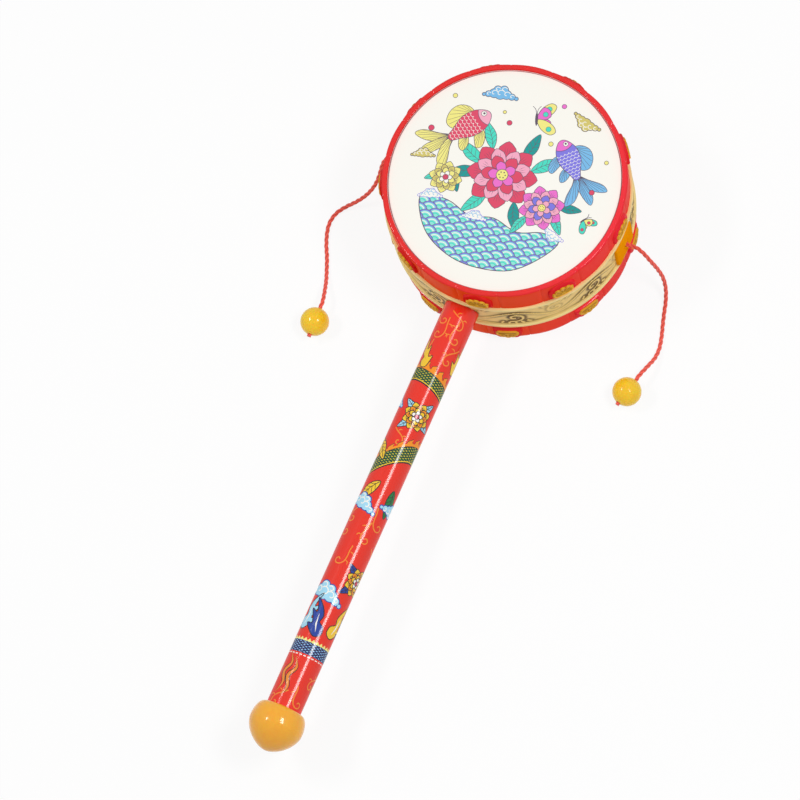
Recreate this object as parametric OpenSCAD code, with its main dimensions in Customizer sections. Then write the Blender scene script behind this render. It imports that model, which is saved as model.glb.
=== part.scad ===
// Pellet drum rattle: a two-headed plastic drum on a tube handle, with a bead on a cord at each side.
// It lies on its rear hoop. The origin is the middle of the ring that it rests on, +Z is the drum's
// axis towards the front head, and the handle points along -Y. Lengths are in millimetres.

/* [Drum] */
// Distance between the outer faces of the two hoops
drum_depth = 43; // [38:0.5:60]
// Outer radius of the drum's shell
shell_r = 40.2; // [34:0.1:60]
// Thickness of the shell's wall
shell_wall = 2; // [1.2:0.1:3]
// Thickness of each printed head
head_t = 0.8; // [0.4:0.1:1.5]

/* [Hoops] */
// Height of each hoop
hoop_h = 12.5; // [10.5:0.1:14]
// Wall of each hoop's skirt
hoop_wall = 1; // [0.8:0.1:2]
// Thickness of each hoop's lip over the head
lip_t = 1.1; // [0.8:0.1:1.5]
// Distance that each lip reaches in past the shell's outer face
lip_reach = 0.7; // [0.4:0.1:3]
// Rounding of each hoop's outer edge
hoop_round = 0.5; // [0.2:0.05:0.7]
// Pairs of plain and ornamented panels round each hoop
panel_pairs = 9; // [6:1:10]
// Angle of the front hoop's first ornament from +X, in degrees
front_turn = 0; // [-20:1:20]
// Angle of the rear hoop's first ornament from +X, in degrees
rear_turn = 10; // [-20:1:20]
// Width of the groove at each seam between two panels
seam_w = 0.6; // [0.3:0.1:1]
// Depth of the groove at each seam
seam_depth = 0.25; // [0.1:0.05:0.5]

/* [Ornaments] */
// Width of the arched scallop behind each ornament
scallop_w = 10; // [8.5:0.1:11]
// Height of the scallop
scallop_h = 8.6; // [7.5:0.1:9]
// Distance that the scallop stands out from the skirt
scallop_t = 1.1; // [0.6:0.1:2]
// Distance of the scallop's top from the drum's face
scallop_drop = 0.9; // [0.6:0.1:1.5]
// Chamfer round the foot of the scallop
scallop_chamfer = 0.4; // [0.2:0.1:0.5]
// Height of the slope at the top of the scallop
scallop_slope = 1.5; // [0.8:0.1:1.8]
// Radius of the fan of petals on each ornament
fan_r = 4.1; // [3.5:0.1:4.2]
// Radius of the tip of one petal
petal_r = 1; // [0.7:0.05:1.1]
// Petals on each fan
petals = 5; // [3:2:7]
// Height of the foot under each fan
fan_foot_h = 1.8; // [1:0.1:2]
// Distance that the fan stands out from the scallop
fan_t = 0.7; // [0.4:0.1:1.2]

/* [Band] */
// Thickness of the gold band round the shell
band_t = 1.4; // [1:0.1:2]
// Height of the raised edge line at each side of the band
trim_h = 1.5; // [1:0.1:2]
// Distance that an edge line stands out from the band
trim_proud = 0.6; // [0.3:0.1:1]

/* [Cord anchors] */
// Width of the plate round each cord hole, along the band
anchor_w = 12; // [9:0.5:14]
// Thickness of the plate
anchor_t = 1.2; // [0.8:0.1:2]
// Corner radius of the plate
anchor_corner = 1; // [0.5:0.1:2]
// Play between the plate and the edge lines
anchor_play = 0.2; // [0.1:0.05:0.4]

/* [Handle] */
// Distance from the drum's axis to the far end of the tube
handle_reach = 190; // [120:1:260]
// Outer radius of the tube
tube_r = 6; // [5:0.1:6.6]
// Wall of the tube
tube_wall = 1.5; // [1:0.1:2.2]
// Length of the spigot inside the tube
spigot_in = 22; // [12:1:40]
// Radius of the spigot's head inside the shell
spigot_head_r = 7; // [6.2:0.1:8]
// Thickness of the spigot's head
spigot_head_t = 2; // [1.5:0.1:3]
// Radius of the boss inside the shell that the head bears on
boss_r = 8; // [7:0.1:9]
// Distance from the shell's outer face to the boss's flat face
boss_depth = 5; // [4:0.1:7]

/* [Knob] */
// Radius of the knob
knob_r = 9.3; // [8:0.1:12]
// Length of the knob outside the tube
knob_len = 15; // [13:0.1:18]
// Radius of the knob where it meets the tube
knob_neck_r = 6.8; // [6.7:0.1:7.6]
// Length of the knob's stem inside the tube
stem_len = 14; // [8:1:30]

/* [Cords and beads] */
// Radius of the twisted cord
cord_r = 0.75; // [0.6:0.05:0.9]
// Radius of each bead
bead_r = 5; // [4:0.1:6]
// Gap between the cord and the bead's bore
bead_play = 0.07; // [0.03:0.01:0.1]
// Gap between the cord and its hole in the drum
cord_play = 0.25; // [0.15:0.05:0.4]
// Radius of the knot inside the drum
inner_knot_r = 1.8; // [1.6:0.1:2.4]
// Radius of the knot under each bead
end_knot_r = 1.4; // [1.2:0.1:2]
// Gap between the anchor plate and the ball that the cord bends round
bend_gap = 0.2; // [0.1:0.05:1]

/* [Hidden] */
$fn = 96;

// Overrun of every cut past the face that it opens
over = 1;
// Clearance of every plug in its bore and of each hoop on the shell
fit_gap = 0.05;
// Clearance between pieces that move against each other
run_gap = 0.05;

// Middle of the drum's depth, which the handle and both cords share
mid_z = drum_depth / 2;
shell_inner_r = shell_r - shell_wall;
shell_z = lip_t + head_t;
hoop_r = shell_r + hoop_wall;
head_r = shell_r - lip_reach;
band_r = shell_r + band_t;
band_z = hoop_h + trim_h;
band_h = drum_depth - 2 * band_z;
trim_r = band_r + trim_proud;
scallop_r = hoop_r + scallop_t;
scallop_z = drum_depth - scallop_drop - scallop_h;
fan_z = scallop_z + scallop_chamfer + fan_foot_h;
// Half the angle that the petals spread over, from straight up
fan_spread = 72;

anchor_r = band_r + anchor_t;
anchor_h = band_h - 2 * anchor_play;
cord_hole_r = cord_r + cord_play;

tube_bore_r = tube_r - tube_wall;
boss_face = shell_r - boss_depth;
plug_r = tube_bore_r - fit_gap;

// Where the knob is widest, as a share of its length
knob_wide_share = 0.4;
// How full the knob's dome is: 2 is a plain ellipse, and less is more pointed
dome_power = 1.7;

// Where each cord bends: the middle of the little ball at the end of its tail
bend_ball_r = cord_r + run_gap;
bend_x = anchor_r + bend_gap + bend_ball_r;
// Distance from a bead's middle to the end of its free cord, as a share of the bead's radius
bead_seat_share = 1.06;
bead_seat = bead_seat_share * bead_r;
// Straight stretch of cord before each bead
bead_lead = 3 * cord_r;
bead_bore_r = cord_r + bead_play;
// Distance from a bead's middle to the rim of its bore, and to the middle of the knot that it rests against
rim_at = sqrt(pow(bead_r, 2) - pow(bead_bore_r, 2));
knot_at = rim_at + sqrt(pow(end_knot_r + run_gap, 2) - pow(bead_bore_r, 2));

// Middle of each bead, resting on the table, and the heading of its cord, in degrees from +X
right_bead_at = [59.9, -43.6, bead_r];
right_heading = -104;
left_bead_at = [-49.3, -59.6, bead_r];
left_heading = -87;

// Route of each free cord between its hole and its bead
right_route = [
    [46.6, 0, 21.4], [49.2, -0.6, 20.1], [51.8, -1.4, 17.2], [54.2, -1.9, 13.2], [56.4, -2.9, 8.8],
    [58, -5, 4.8], [59.2, -8.3, 2], [60.1, -12, 0.85], [61.2, -15.8, 0.75], [62.5, -20, 0.75],
    [63.5, -24.4, 1], [63.6, -28.6, 2.2], [62.8, -32.4, 3.9]
];
left_route = [
    [-44.9, -0.2, 20.9], [-46.1, -0.8, 20], [-46.9, -2, 18.6], [-47.2, -3.6, 16.9], [-47.4, -5.6, 14.7],
    [-48, -8, 12.1], [-49.4, -10.4, 9.2], [-51.6, -12.6, 6.2], [-54.2, -14.6, 3.7], [-57, -16.7, 1.8],
    [-59.3, -19.6, 0.9], [-60.2, -23.2, 0.75], [-59.7, -27, 0.75], [-58, -31.6, 0.75], [-56, -35.6, 0.75],
    [-54.2, -39.8, 0.85], [-52.4, -44, 1.8], [-50.8, -48.2, 3.8]
];

// A ring about the drum's axis
module ring(inner, outer, z0, z1) {
    translate([0, 0, z0])
        difference() {
            cylinder(r = outer, h = z1 - z0);
            translate([0, 0, -over]) cylinder(r = inner, h = z1 - z0 + 2 * over);
        }
}

// The child outline pushed out along +X from the drum's axis; its own x runs along +Y and its y up
module radially(reach) {
    rotate([90, 0, 90]) linear_extrude(height = reach) children();
}

// The children set round the drum, one for each ornament
module round_the_drum(turn) {
    for (i = [0:panel_pairs - 1])
        rotate([0, 0, turn + i * 360 / panel_pairs]) children();
}

// The children turned over, from the front of the drum to its rear
module at_the_rear() {
    translate([0, 0, drum_depth]) mirror([0, 0, 1]) children();
}

module hoop_profile() {
    translate([shell_r + fit_gap, drum_depth - hoop_h])
        square([hoop_wall - fit_gap, hoop_h - hoop_round]);
    translate([head_r, drum_depth - lip_t])
        square([hoop_r - hoop_round - head_r, lip_t]);
    translate([hoop_r - hoop_round, drum_depth - hoop_round]) circle(r = hoop_round);
}

module scallop_outline() {
    translate([-scallop_w / 2, scallop_z]) square([scallop_w, scallop_h - scallop_w / 2]);
    translate([0, scallop_z + scallop_h - scallop_w / 2]) circle(r = scallop_w / 2);
}

module scallop_profile() {
    root = shell_r + hoop_wall / 2;
    top = scallop_z + scallop_h;
    polygon([
        [root, scallop_z], [scallop_r - scallop_chamfer, scallop_z], [scallop_r, scallop_z + scallop_chamfer],
        [scallop_r, top - scallop_slope], [hoop_r, top], [root, top]
    ]);
}

// A hoop as the front one sits: lip up, with its ornaments' scallops and the seams between its panels
module hoop(turn) {
    seam_turn = 90 / panel_pairs;
    difference() {
        union() {
            rotate_extrude() hoop_profile();
            round_the_drum(turn)
                intersection() {
                    rotate_extrude() scallop_profile();
                    radially(scallop_r + over) scallop_outline();
                }
        }
        for (side = [-1, 1])
            round_the_drum(turn + side * seam_turn)
                translate([hoop_r, 0, drum_depth - hoop_h - over])
                    linear_extrude(height = hoop_h + 2 * over)
                        polygon([[-seam_depth, 0], [over, -seam_w / 2 - over], [over, seam_w / 2 + over]]);
    }
}

// One fan: petals round the top of a disc, on a foot that narrows downwards
module fan_outline() {
    disc_r = fan_r - petal_r;
    intersection() {
        union() {
            circle(r = disc_r);
            for (i = [0:petals - 1])
                rotate(-fan_spread + i * 2 * fan_spread / (petals - 1))
                    translate([0, disc_r]) circle(r = petal_r);
        }
        translate([-fan_r, 0]) square([2 * fan_r, fan_r]);
    }
    polygon([[-disc_r, -fan_foot_h], [disc_r, -fan_foot_h], [fan_r, 0], [-fan_r, 0]]);
}

module ornaments(turn) {
    round_the_drum(turn)
        intersection() {
            ring(scallop_r, scallop_r + fan_t, 0, drum_depth);
            radially(scallop_r + fan_t + over) translate([0, fan_z]) fan_outline();
        }
}

module head() {
    translate([0, 0, drum_depth - shell_z]) cylinder(r = shell_r - fit_gap, h = head_t);
}

module edge_line() {
    ring(shell_r + fit_gap, trim_r, drum_depth - band_z, drum_depth - hoop_h);
}

// A round bar along -Y at the handle's height, from one distance from the drum's axis to another
module handle_bar(r, from, to) {
    translate([0, -from, mid_z]) rotate([90, 0, 0]) cylinder(r = r, h = to - from);
}

// Both cord holes and the handle's bore
module wall_holes() {
    translate([-anchor_r - over, 0, mid_z])
        rotate([0, 90, 0]) cylinder(r = cord_hole_r, h = 2 * (anchor_r + over));
    handle_bar(tube_bore_r, 0, band_r + over);
}

module drum_shell() {
    color("firebrick")
        difference() {
            union() {
                ring(shell_inner_r, shell_r, shell_z, drum_depth - shell_z);
                intersection() {
                    handle_bar(boss_r, boss_face, shell_r);
                    cylinder(r = shell_r - shell_wall / 2, h = drum_depth);
                }
            }
            wall_holes();
        }
}

module front_head() {
    color("ivory") head();
}

module rear_head() {
    color("ivory") at_the_rear() head();
}

module front_hoop() {
    color("red") hoop(front_turn);
}

module rear_hoop() {
    color("red") at_the_rear() hoop(rear_turn);
}

module front_ornaments() {
    color("goldenrod") ornaments(front_turn);
}

module rear_ornaments() {
    color("goldenrod") at_the_rear() ornaments(rear_turn);
}

module gold_band() {
    color("gold")
        difference() {
            ring(shell_r + fit_gap, band_r, band_z, drum_depth - band_z);
            wall_holes();
        }
}

module front_edge_line() {
    color("wheat") edge_line();
}

module rear_edge_line() {
    color("wheat") at_the_rear() edge_line();
}

module anchor_outline() {
    span = [anchor_w - 2 * anchor_corner, anchor_h - 2 * anchor_corner];
    translate([-span[0] / 2, mid_z - span[1] / 2 - anchor_corner]) square([span[0], anchor_h]);
    translate([-anchor_w / 2, mid_z - span[1] / 2]) square([anchor_w, span[1]]);
    for (x = [-1, 1], y = [-1, 1])
        translate([x * span[0] / 2, mid_z + y * span[1] / 2]) circle(r = anchor_corner);
}

module right_cord_anchor() {
    color("orange")
        difference() {
            intersection() {
                ring(band_r, anchor_r, band_z, drum_depth - band_z);
                radially(anchor_r + over) anchor_outline();
            }
            wall_holes();
        }
}

module left_cord_anchor() {
    mirror([1, 0, 0]) right_cord_anchor();
}

module handle_spigot() {
    color("firebrick") {
        handle_bar(spigot_head_r, boss_face - spigot_head_t, boss_face);
        handle_bar(plug_r, boss_face - spigot_head_t / 2, band_r + spigot_in);
    }
}

module handle_tube() {
    color("crimson")
        difference() {
            handle_bar(tube_r, 0, handle_reach);
            handle_bar(tube_bore_r, -over, handle_reach + over);
            translate([0, 0, -over]) cylinder(r = band_r, h = drum_depth + 2 * over);
        }
}

// The knob's outline, with x as its radius and y as the distance past the tube's end
module knob_outline() {
    steps = 16;
    wide_at = knob_wide_share * knob_len;
    shoulder = [
        for (i = [0:steps])
            let (t = 90 * i / steps)
            [knob_neck_r + (knob_r - knob_neck_r) * sin(t), wide_at * (1 - cos(t))]
    ];
    dome = [
        for (i = [1:steps])
            let (t = 90 * i / steps, bend = 2 / dome_power)
            [knob_r * pow(cos(t), bend), wide_at + (knob_len - wide_at) * pow(sin(t), bend)]
    ];
    polygon(concat([[0, 0]], shoulder, dome));
}

module end_knob() {
    color("orange") {
        translate([0, -handle_reach, mid_z]) rotate([90, 0, 0]) rotate_extrude() knob_outline();
        handle_bar(plug_r, handle_reach - stem_len, handle_reach + knob_len / 2);
    }
}

// The stretch of cord in the drum's wall, with the knot inside and the ball that the free cord bends round
module right_cord_tail() {
    knot_x = shell_inner_r - run_gap - sqrt(pow(inner_knot_r, 2) - pow(cord_hole_r, 2));
    color("tomato")
        translate([0, 0, mid_z]) {
            translate([knot_x, 0, 0]) sphere(r = inner_knot_r);
            translate([knot_x, 0, 0]) rotate([0, 90, 0]) cylinder(r = cord_r, h = bend_x - knot_x);
            translate([bend_x, 0, 0]) sphere(r = bend_ball_r);
        }
}

module left_cord_tail() {
    mirror([1, 0, 0]) right_cord_tail();
}

function unit(a) = a / norm(a);
function heading(angle) = [cos(angle), sin(angle), 0];

// The whole line of a free cord: off the ball at its pivot, along its route and straight to the bead
function cord_line(pivot, route, bead_at, angle) = concat(
    [pivot + (bend_ball_r + run_gap) * unit(route[0] - pivot)], route,
    [bead_at - (bead_seat + bead_lead) * heading(angle), bead_at - bead_seat * heading(angle)]
);

// The direction of the line at its point i, from its two neighbours
function along(line, i) = unit(line[min(i + 1, len(line) - 1)] - line[max(i - 1, 0)]);

// One ring of a cord's surface, square to the line
function cord_ring(line, i, sides) =
    let (
        t = along(line, i),
        side = unit(cross(t, [0, 0, 1])),
        rise = cross(side, t)
    )
    [for (k = [0:sides - 1]) line[i] + cord_r * (cos(k * 360 / sides) * side + sin(k * 360 / sides) * rise)];

module cord(line) {
    sides = 8;
    last = (len(line) - 1) * sides;
    points = [for (i = [0:len(line) - 1]) each cord_ring(line, i, sides)];
    skin = [
        for (i = [0:len(line) - 2], k = [0:sides - 1])
            let (a = i * sides + k, b = i * sides + (k + 1) % sides)
            each [[a, b, b + sides], [a, b + sides, a + sides]]
    ];
    caps = [for (k = [1:sides - 2]) each [[0, k + 1, k], [last, last + k, last + k + 1]]];
    color("tomato") polyhedron(points = points, faces = concat(skin, caps));
}

module right_cord() {
    cord(cord_line([bend_x, 0, mid_z], right_route, right_bead_at, right_heading));
}

module left_cord() {
    cord(cord_line([-bend_x, 0, mid_z], left_route, left_bead_at, left_heading));
}

// The children set at a bead's middle, with +Z along its cord
module at_bead(place, angle) {
    translate(place) rotate([0, 90, angle]) children();
}

// The cord inside a bead, and the knot that holds the bead on
module end_knot(place, angle) {
    color("tomato")
        at_bead(place, angle) {
            translate([0, 0, -bead_seat]) cylinder(r = cord_r, h = bead_seat + knot_at);
            translate([0, 0, knot_at]) sphere(r = end_knot_r);
        }
}

module bead(place, angle) {
    color("orange")
        difference() {
            translate(place) sphere(r = bead_r);
            at_bead(place, angle)
                translate([0, 0, -bead_r - over]) cylinder(r = bead_bore_r, h = 2 * (bead_r + over));
        }
}

module right_end_knot() {
    end_knot(right_bead_at, right_heading);
}

module left_end_knot() {
    end_knot(left_bead_at, left_heading);
}

module right_bead() {
    bead(right_bead_at, right_heading);
}

module left_bead() {
    bead(left_bead_at, left_heading);
}

drum_shell();
front_head();
rear_head();
front_hoop();
rear_hoop();
front_ornaments();
rear_ornaments();
gold_band();
front_edge_line();
rear_edge_line();
right_cord_anchor();
left_cord_anchor();
handle_spigot();
handle_tube();
end_knob();
right_cord_tail();
right_cord();
right_end_knot();
right_bead();
left_cord_tail();
left_cord();
left_end_knot();
left_bead();
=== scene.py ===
"""Pellet drum rattle: the looks of its pieces, made round the fixed frame of its solids."""

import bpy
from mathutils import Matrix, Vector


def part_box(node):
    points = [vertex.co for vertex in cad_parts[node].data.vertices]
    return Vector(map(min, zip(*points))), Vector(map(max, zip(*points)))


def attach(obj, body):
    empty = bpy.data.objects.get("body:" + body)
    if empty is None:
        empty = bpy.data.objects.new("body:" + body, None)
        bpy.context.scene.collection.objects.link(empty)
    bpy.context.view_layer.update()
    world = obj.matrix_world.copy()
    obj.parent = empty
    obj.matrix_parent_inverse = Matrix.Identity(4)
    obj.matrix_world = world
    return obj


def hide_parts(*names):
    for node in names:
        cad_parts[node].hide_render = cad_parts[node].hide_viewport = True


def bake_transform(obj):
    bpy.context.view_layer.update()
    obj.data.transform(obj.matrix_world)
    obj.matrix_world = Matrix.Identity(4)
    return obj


bl_info = {
    "name": "Pellet drum rattle",
    "version": (1, 0, 0),
    "blender": (4, 5, 0),
    "location": "3D View > Sidebar > Rattle",
    "description": "Builds a two-headed drum on a printed tube, with a bead on a cord at each side",
    "category": "Object",
}

import math
import random

import bmesh
import bpy
import numpy
from bpy.props import FloatProperty, FloatVectorProperty, IntProperty, PointerProperty
from mathutils import Matrix, Vector
from mathutils.geometry import delaunay_2d_cdt
from mathutils.kdtree import KDTree

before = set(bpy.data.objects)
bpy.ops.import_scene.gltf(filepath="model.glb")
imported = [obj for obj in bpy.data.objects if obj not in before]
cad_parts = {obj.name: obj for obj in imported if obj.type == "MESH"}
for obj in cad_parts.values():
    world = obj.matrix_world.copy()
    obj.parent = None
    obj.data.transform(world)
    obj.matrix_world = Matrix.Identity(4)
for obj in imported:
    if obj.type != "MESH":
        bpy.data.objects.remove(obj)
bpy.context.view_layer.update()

# One millimetre in the frame's metres
MM = 0.001
TURN = 2 * math.pi
# The two cords, and which way along X each one leaves the drum
SIDES = {"right": 1, "left": -1}
WHITE = (1.0, 1.0, 1.0, 1.0)
# Sides of a head's rim
HEAD_SIDES = 144


def span(node):
    """Lowest and highest corner of a solid of the frame, in millimetres."""
    low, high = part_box(node)
    return low / MM, high / MM


# Places that the pieces share, read from the frame
DRUM_TOP = span("front_hoop")[1].z
MID_Z = DRUM_TOP / 2
SHELL_R = span("drum_shell")[1].x
HEAD_TOP = span("front_head")[1].z
HEAD_BACK = span("front_head")[0].z
HEAD_R = span("front_head")[1].x
BAND_LOW, BAND_HIGH = span("gold_band")[0].z, span("gold_band")[1].z
BAND_R = span("gold_band")[1].x
TRIM_R = span("front_edge_line")[1].x
TRIM_LOW, TRIM_HIGH = span("front_edge_line")[0].z, span("front_edge_line")[1].z
SCALLOP_R = span("front_hoop")[1].x
FAN_R = span("front_ornaments")[1].x
PLATE_R = span("right_cord_anchor")[1].x
PLATE_LOW, PLATE_HIGH = span("right_cord_anchor")
TUBE_R = span("handle_tube")[1].x
TUBE_END = span("handle_tube")[0].y
KNOB_END = span("end_knob")[0].y
KNOB_R = span("end_knob")[1].x
BEAD_R = (span("right_bead")[1].z - span("right_bead")[0].z) / 2


# Sizes and colours that a user would change

def length(title, tip, default):
    """A size in millimetres, in the unit of lenses, because Blender takes other lengths as metres."""
    return FloatProperty(name=title, description=tip, default=default, unit="CAMERA", min=0.0)


def angle(title, tip, degrees):
    """An angle, kept in radians as Blender shows it."""
    return FloatProperty(name=title, description=tip, default=math.radians(degrees), unit="ROTATION",
                         subtype="ANGLE")


def tint(title, tip, red, green, blue):
    """A colour as it looks on screen, from 0 to 255."""
    return FloatVectorProperty(name=title, description=tip, size=3, subtype="COLOR_GAMMA", min=0.0, max=1.0,
                               default=(red / 255, green / 255, blue / 255))


class StudioSettings(bpy.types.PropertyGroup):
    azimuth: angle("Azimuth", "Direction that the camera looks from, round the drum's axis", 45.12)
    elevation: angle("Elevation", "Height of the camera above the table", 71.44)
    roll: angle("Roll", "Turn of the camera about its own line of sight", -22.51)
    distance: length("Distance", "Distance from the camera to its target", 1400)
    target: FloatVectorProperty(name="Target", description="Point that the camera looks at", size=3,
                                unit="CAMERA", default=(-7.09, -78.12, 20))
    lens: length("Lens", "Focal length on a sensor 36 mm wide", 187.8)
    sky: FloatProperty(name="Sky", description="Strength of the light from all round", default=0.37)
    left_lamp: FloatProperty(name="Left lamp", description="Light that the left lamp adds", default=0.3)
    right_lamp: FloatProperty(name="Right lamp", description="Light that the right lamp adds", default=0.42)
    floor_white: FloatProperty(
        name="Floor white",
        description="Share of plain white in the floor. The rest is lit, and takes the shadows",
        subtype="FACTOR", min=0.0, max=1.0, default=0.88)


class HoopSizes(bpy.types.PropertyGroup):
    wall: length("Wall", "Thickness of the hoop's skirt", 1.0)
    round: length("Rounding", "Radius of the hoop's outer edge", 0.5)
    lip_round: length("Lip rounding", "Radius of the lip's inner edge", 0.25)
    lip_reach: length("Lip reach", "Distance that the lip reaches in past the shell", 0.7)
    pairs: IntProperty(name="Panel pairs", description="Ornaments round each hoop", default=9, min=3)
    front_turn: angle("Front turn", "Angle of the front hoop's first ornament", 0)
    rear_turn: angle("Rear turn", "Angle of the rear hoop's first ornament", 10)
    seam_w: length("Seam width", "Width of the groove between two panels", 0.6)
    seam_depth: length("Seam depth", "Depth of that groove", 0.18)
    bulge: length("Bulge", "How far a panel's middle stands out past its seams", 0.18)
    scallop_w: length("Scallop width", "Width of the arched scallop", 10)
    scallop_h: length("Scallop height", "Height of the arched scallop", 8.6)
    scallop_drop: length("Scallop drop", "Distance from the drum's face to the scallop's top", 0.9)
    bevel: length("Bevel", "Width of the bevel round the scallop", 0.4)
    slope: length("Slope", "Height of the slope at the scallop's top", 1.5)
    fan_r: length("Fan", "Radius of the fan of petals", 4.1)
    petal_r: length("Petal", "Radius of one petal's tip", 1.0)
    petals: IntProperty(name="Petals", description="Petals on each fan", default=5, min=3)
    foot_h: length("Foot", "Height of the foot under each fan", 1.8)
    fan_spread: angle("Fan spread", "Half the angle that the petals spread over", 72)


class CordSizes(bpy.types.PropertyGroup):
    cord_r: length("Cord", "Radius of the twisted cord", 0.75)
    plies: IntProperty(name="Plies", description="Plies twisted into the cord", default=3, min=2)
    pitch: length("Lay", "Length of one turn of a ply", 6.6)
    lay_share: FloatProperty(
        name="Ply place", description="Share of the cord's radius at which the plies' middles run",
        subtype="FACTOR", min=0.3, max=0.6, default=0.47)
    bend_at: length("Bend", "Distance from a plate's face to the point where its cord bends", 1.0)
    seat: length("Seat", "Distance from a bead's middle to the end of its free cord", 5.3)
    lead: length("Lead", "Straight stretch of cord before each bead", 2.25)
    bore_play: length("Bore play", "Gap between the cord and the bead's bore", 0.07)
    bead_ease: length("Bead easing", "Size of the eased edge at each end of a bead's bore", 0.35)
    bead_ridge: length("Bead ridge", "Height of the faint line round a bead's middle", 0.04)
    knot_r: length("Knot", "Radius of the knot under each bead", 1.4)
    inner_knot_r: length("Inner knot", "Radius of the knot inside the drum", 1.8)
    right_heading: angle("Right heading", "Direction of the right cord through its bead, from +X", -104)
    left_heading: angle("Left heading", "Direction of the left cord through its bead, from +X", -87)


class BandSizes(bpy.types.PropertyGroup):
    repeats: IntProperty(
        name="Repeats", description="Times that the scrolls repeat round the band", default=9, min=3)
    turn: angle("Turn", "Angle at which the first repeat starts", 5)
    relief: length("Relief", "Depth of the ground under the scrolls", 0.22)
    stroke: length("Stroke", "Half the width of a scroll's stroke", 0.62)
    sway: length("Sway", "How far the winding stem sways to each side", 3.4)
    border: length("Border", "Distance from the band's edge to its border line", 0.55)
    line_ease: length("Line rounding", "Radius of the edge lines' outer edges", 0.4)
    hole_r: length("Cord hole", "Radius of the hole in each cord plate", 1.0)
    rim: length("Hole rim", "Width of the raised rim round that hole", 0.5)
    plate_corner: length("Plate corner", "Radius of a cord plate's corners", 1.0)
    plate_ease: length("Plate easing", "Radius of a cord plate's outer edge", 0.35)


class HandleSizes(bpy.types.PropertyGroup):
    bore_r: length("Bore", "Radius of the tube's bore", 4.5)
    cope_run: length("Cope", "Length over which the hollowed end of the tube runs out to square", 6.0)
    neck_r: length("Neck", "Radius of the knob where it meets the tube", 6.8)
    wide_at: length("Shoulder", "Distance from the tube's end to where the knob is widest", 6.0)
    dome_power: FloatProperty(name="Dome", description="How full the knob's dome is: 2 is a plain ellipse",
                              default=1.7, min=1.0, max=3.0)
    stem_len: length("Stem", "Length of the knob's stem inside the tube", 14)
    stem_play: length("Stem play", "Gap between the stem and the tube's bore", 0.05)


class FinishColours(bpy.types.PropertyGroup):
    hoop: tint("Hoop", "Moulded hoops", 248, 80, 26)
    # Painted reflection: the pinkish sheen that the hoops' red turns to at the drum's right
    hoop_painted_sheen: tint("Hoop, right", "Where the hoops' red drifts to at the drum's right", 250, 46, 64)
    lip: tint("Lip", "The hoops' lips", 232, 46, 44)
    scallop: tint("Scallop", "Arched scallops on the hoops", 222, 26, 20)
    gold: tint("Gold", "Raised gold paint", 232, 178, 52)
    # Painted shade: the darker gold in the fans' hollows
    gold_painted_shade: tint("Gold, low", "Hollows of the gold paint", 158, 104, 12)
    band: tint("Band", "Gold of the band", 244, 212, 132)
    # Partly the band's dark print, partly painted shade beside its raised scrolls
    band_dark_print_and_shade: tint("Band, low", "Darkest marks on the band", 98, 70, 22)
    trim: tint("Edge line", "Pale lines at the edges of the band", 252, 226, 158)
    amber: tint("Amber", "Cord plates", 255, 154, 8)
    knob: tint("Knob", "Knob", 255, 174, 42)
    bead: tint("Bead", "Beads", 255, 202, 44)
    cord: tint("Cord", "Twisted cord", 236, 80, 66)
    shell: tint("Shell", "Moulded shell and spigot", 196, 36, 28)


class PrintColours(bpy.types.PropertyGroup):
    paper: tint("Paper", "Ground of the heads", 252, 250, 242)
    line: tint("Line", "Drawn lines on the heads", 104, 92, 108)
    # Painted shade: a thin darker line round each head, just inside the lip, where the head meets the lip
    rim: tint("Rim", "Line round each head", 168, 112, 118)
    foam: tint("Foam", "Ground of the waves", 150, 232, 222)
    rose: tint("Rose", "Rose red", 226, 84, 112)
    pink: tint("Pink", "Pale pink", 248, 176, 200)
    magenta: tint("Magenta", "Bright pink", 240, 120, 208)
    yellow: tint("Yellow", "Pale yellow", 246, 238, 140)
    straw: tint("Straw", "Greenish gold", 216, 202, 118)
    teal: tint("Teal", "Bright teal", 84, 224, 200)
    sea: tint("Sea", "Deep teal", 44, 160, 156)
    violet: tint("Violet", "Violet blue", 134, 128, 228)
    sky: tint("Sky", "Sky blue", 128, 192, 236)
    tube: tint("Tube", "Ground of the tube", 236, 46, 26)
    scroll: tint("Scroll", "Thin scrolls on the tube", 244, 144, 48)
    flame: tint("Flame", "Flames on the tube", 250, 206, 44)
    leaf: tint("Leaf", "Green on the tube", 22, 128, 62)
    fringe: tint("Fringe", "Orange on the tube", 250, 150, 24)
    deep: tint("Deep blue", "Dark blue on the tube", 34, 66, 160)
    cloud: tint("Cloud", "Light blue on the tube", 168, 224, 248)
    dark: tint("Dark", "Darkest line on the tube", 40, 30, 40)


SETTINGS = (
    ("rattle_studio", StudioSettings), ("rattle_hoop", HoopSizes), ("rattle_cord", CordSizes),
    ("rattle_band", BandSizes), ("rattle_handle", HandleSizes), ("rattle_finish", FinishColours),
    ("rattle_print", PrintColours),
)


# Shader maths written as ordinary arithmetic

class Signal:
    """A shader socket that arithmetic can be written with."""

    def __init__(self, finish, socket):
        self.finish = finish
        self.socket = socket

    def maths(self, operation, *values):
        """A Math node on some values, each a signal or a number."""
        return self.finish.add("Math", {"operation": operation}, dict(enumerate(values)))

    def __add__(self, other):
        return self.maths("ADD", self, other)

    __radd__ = __add__

    def __sub__(self, other):
        return self.maths("SUBTRACT", self, other)

    def __rsub__(self, other):
        return self.maths("SUBTRACT", other, self)

    def __mul__(self, other):
        return self.maths("MULTIPLY", self, other)

    __rmul__ = __mul__


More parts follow.
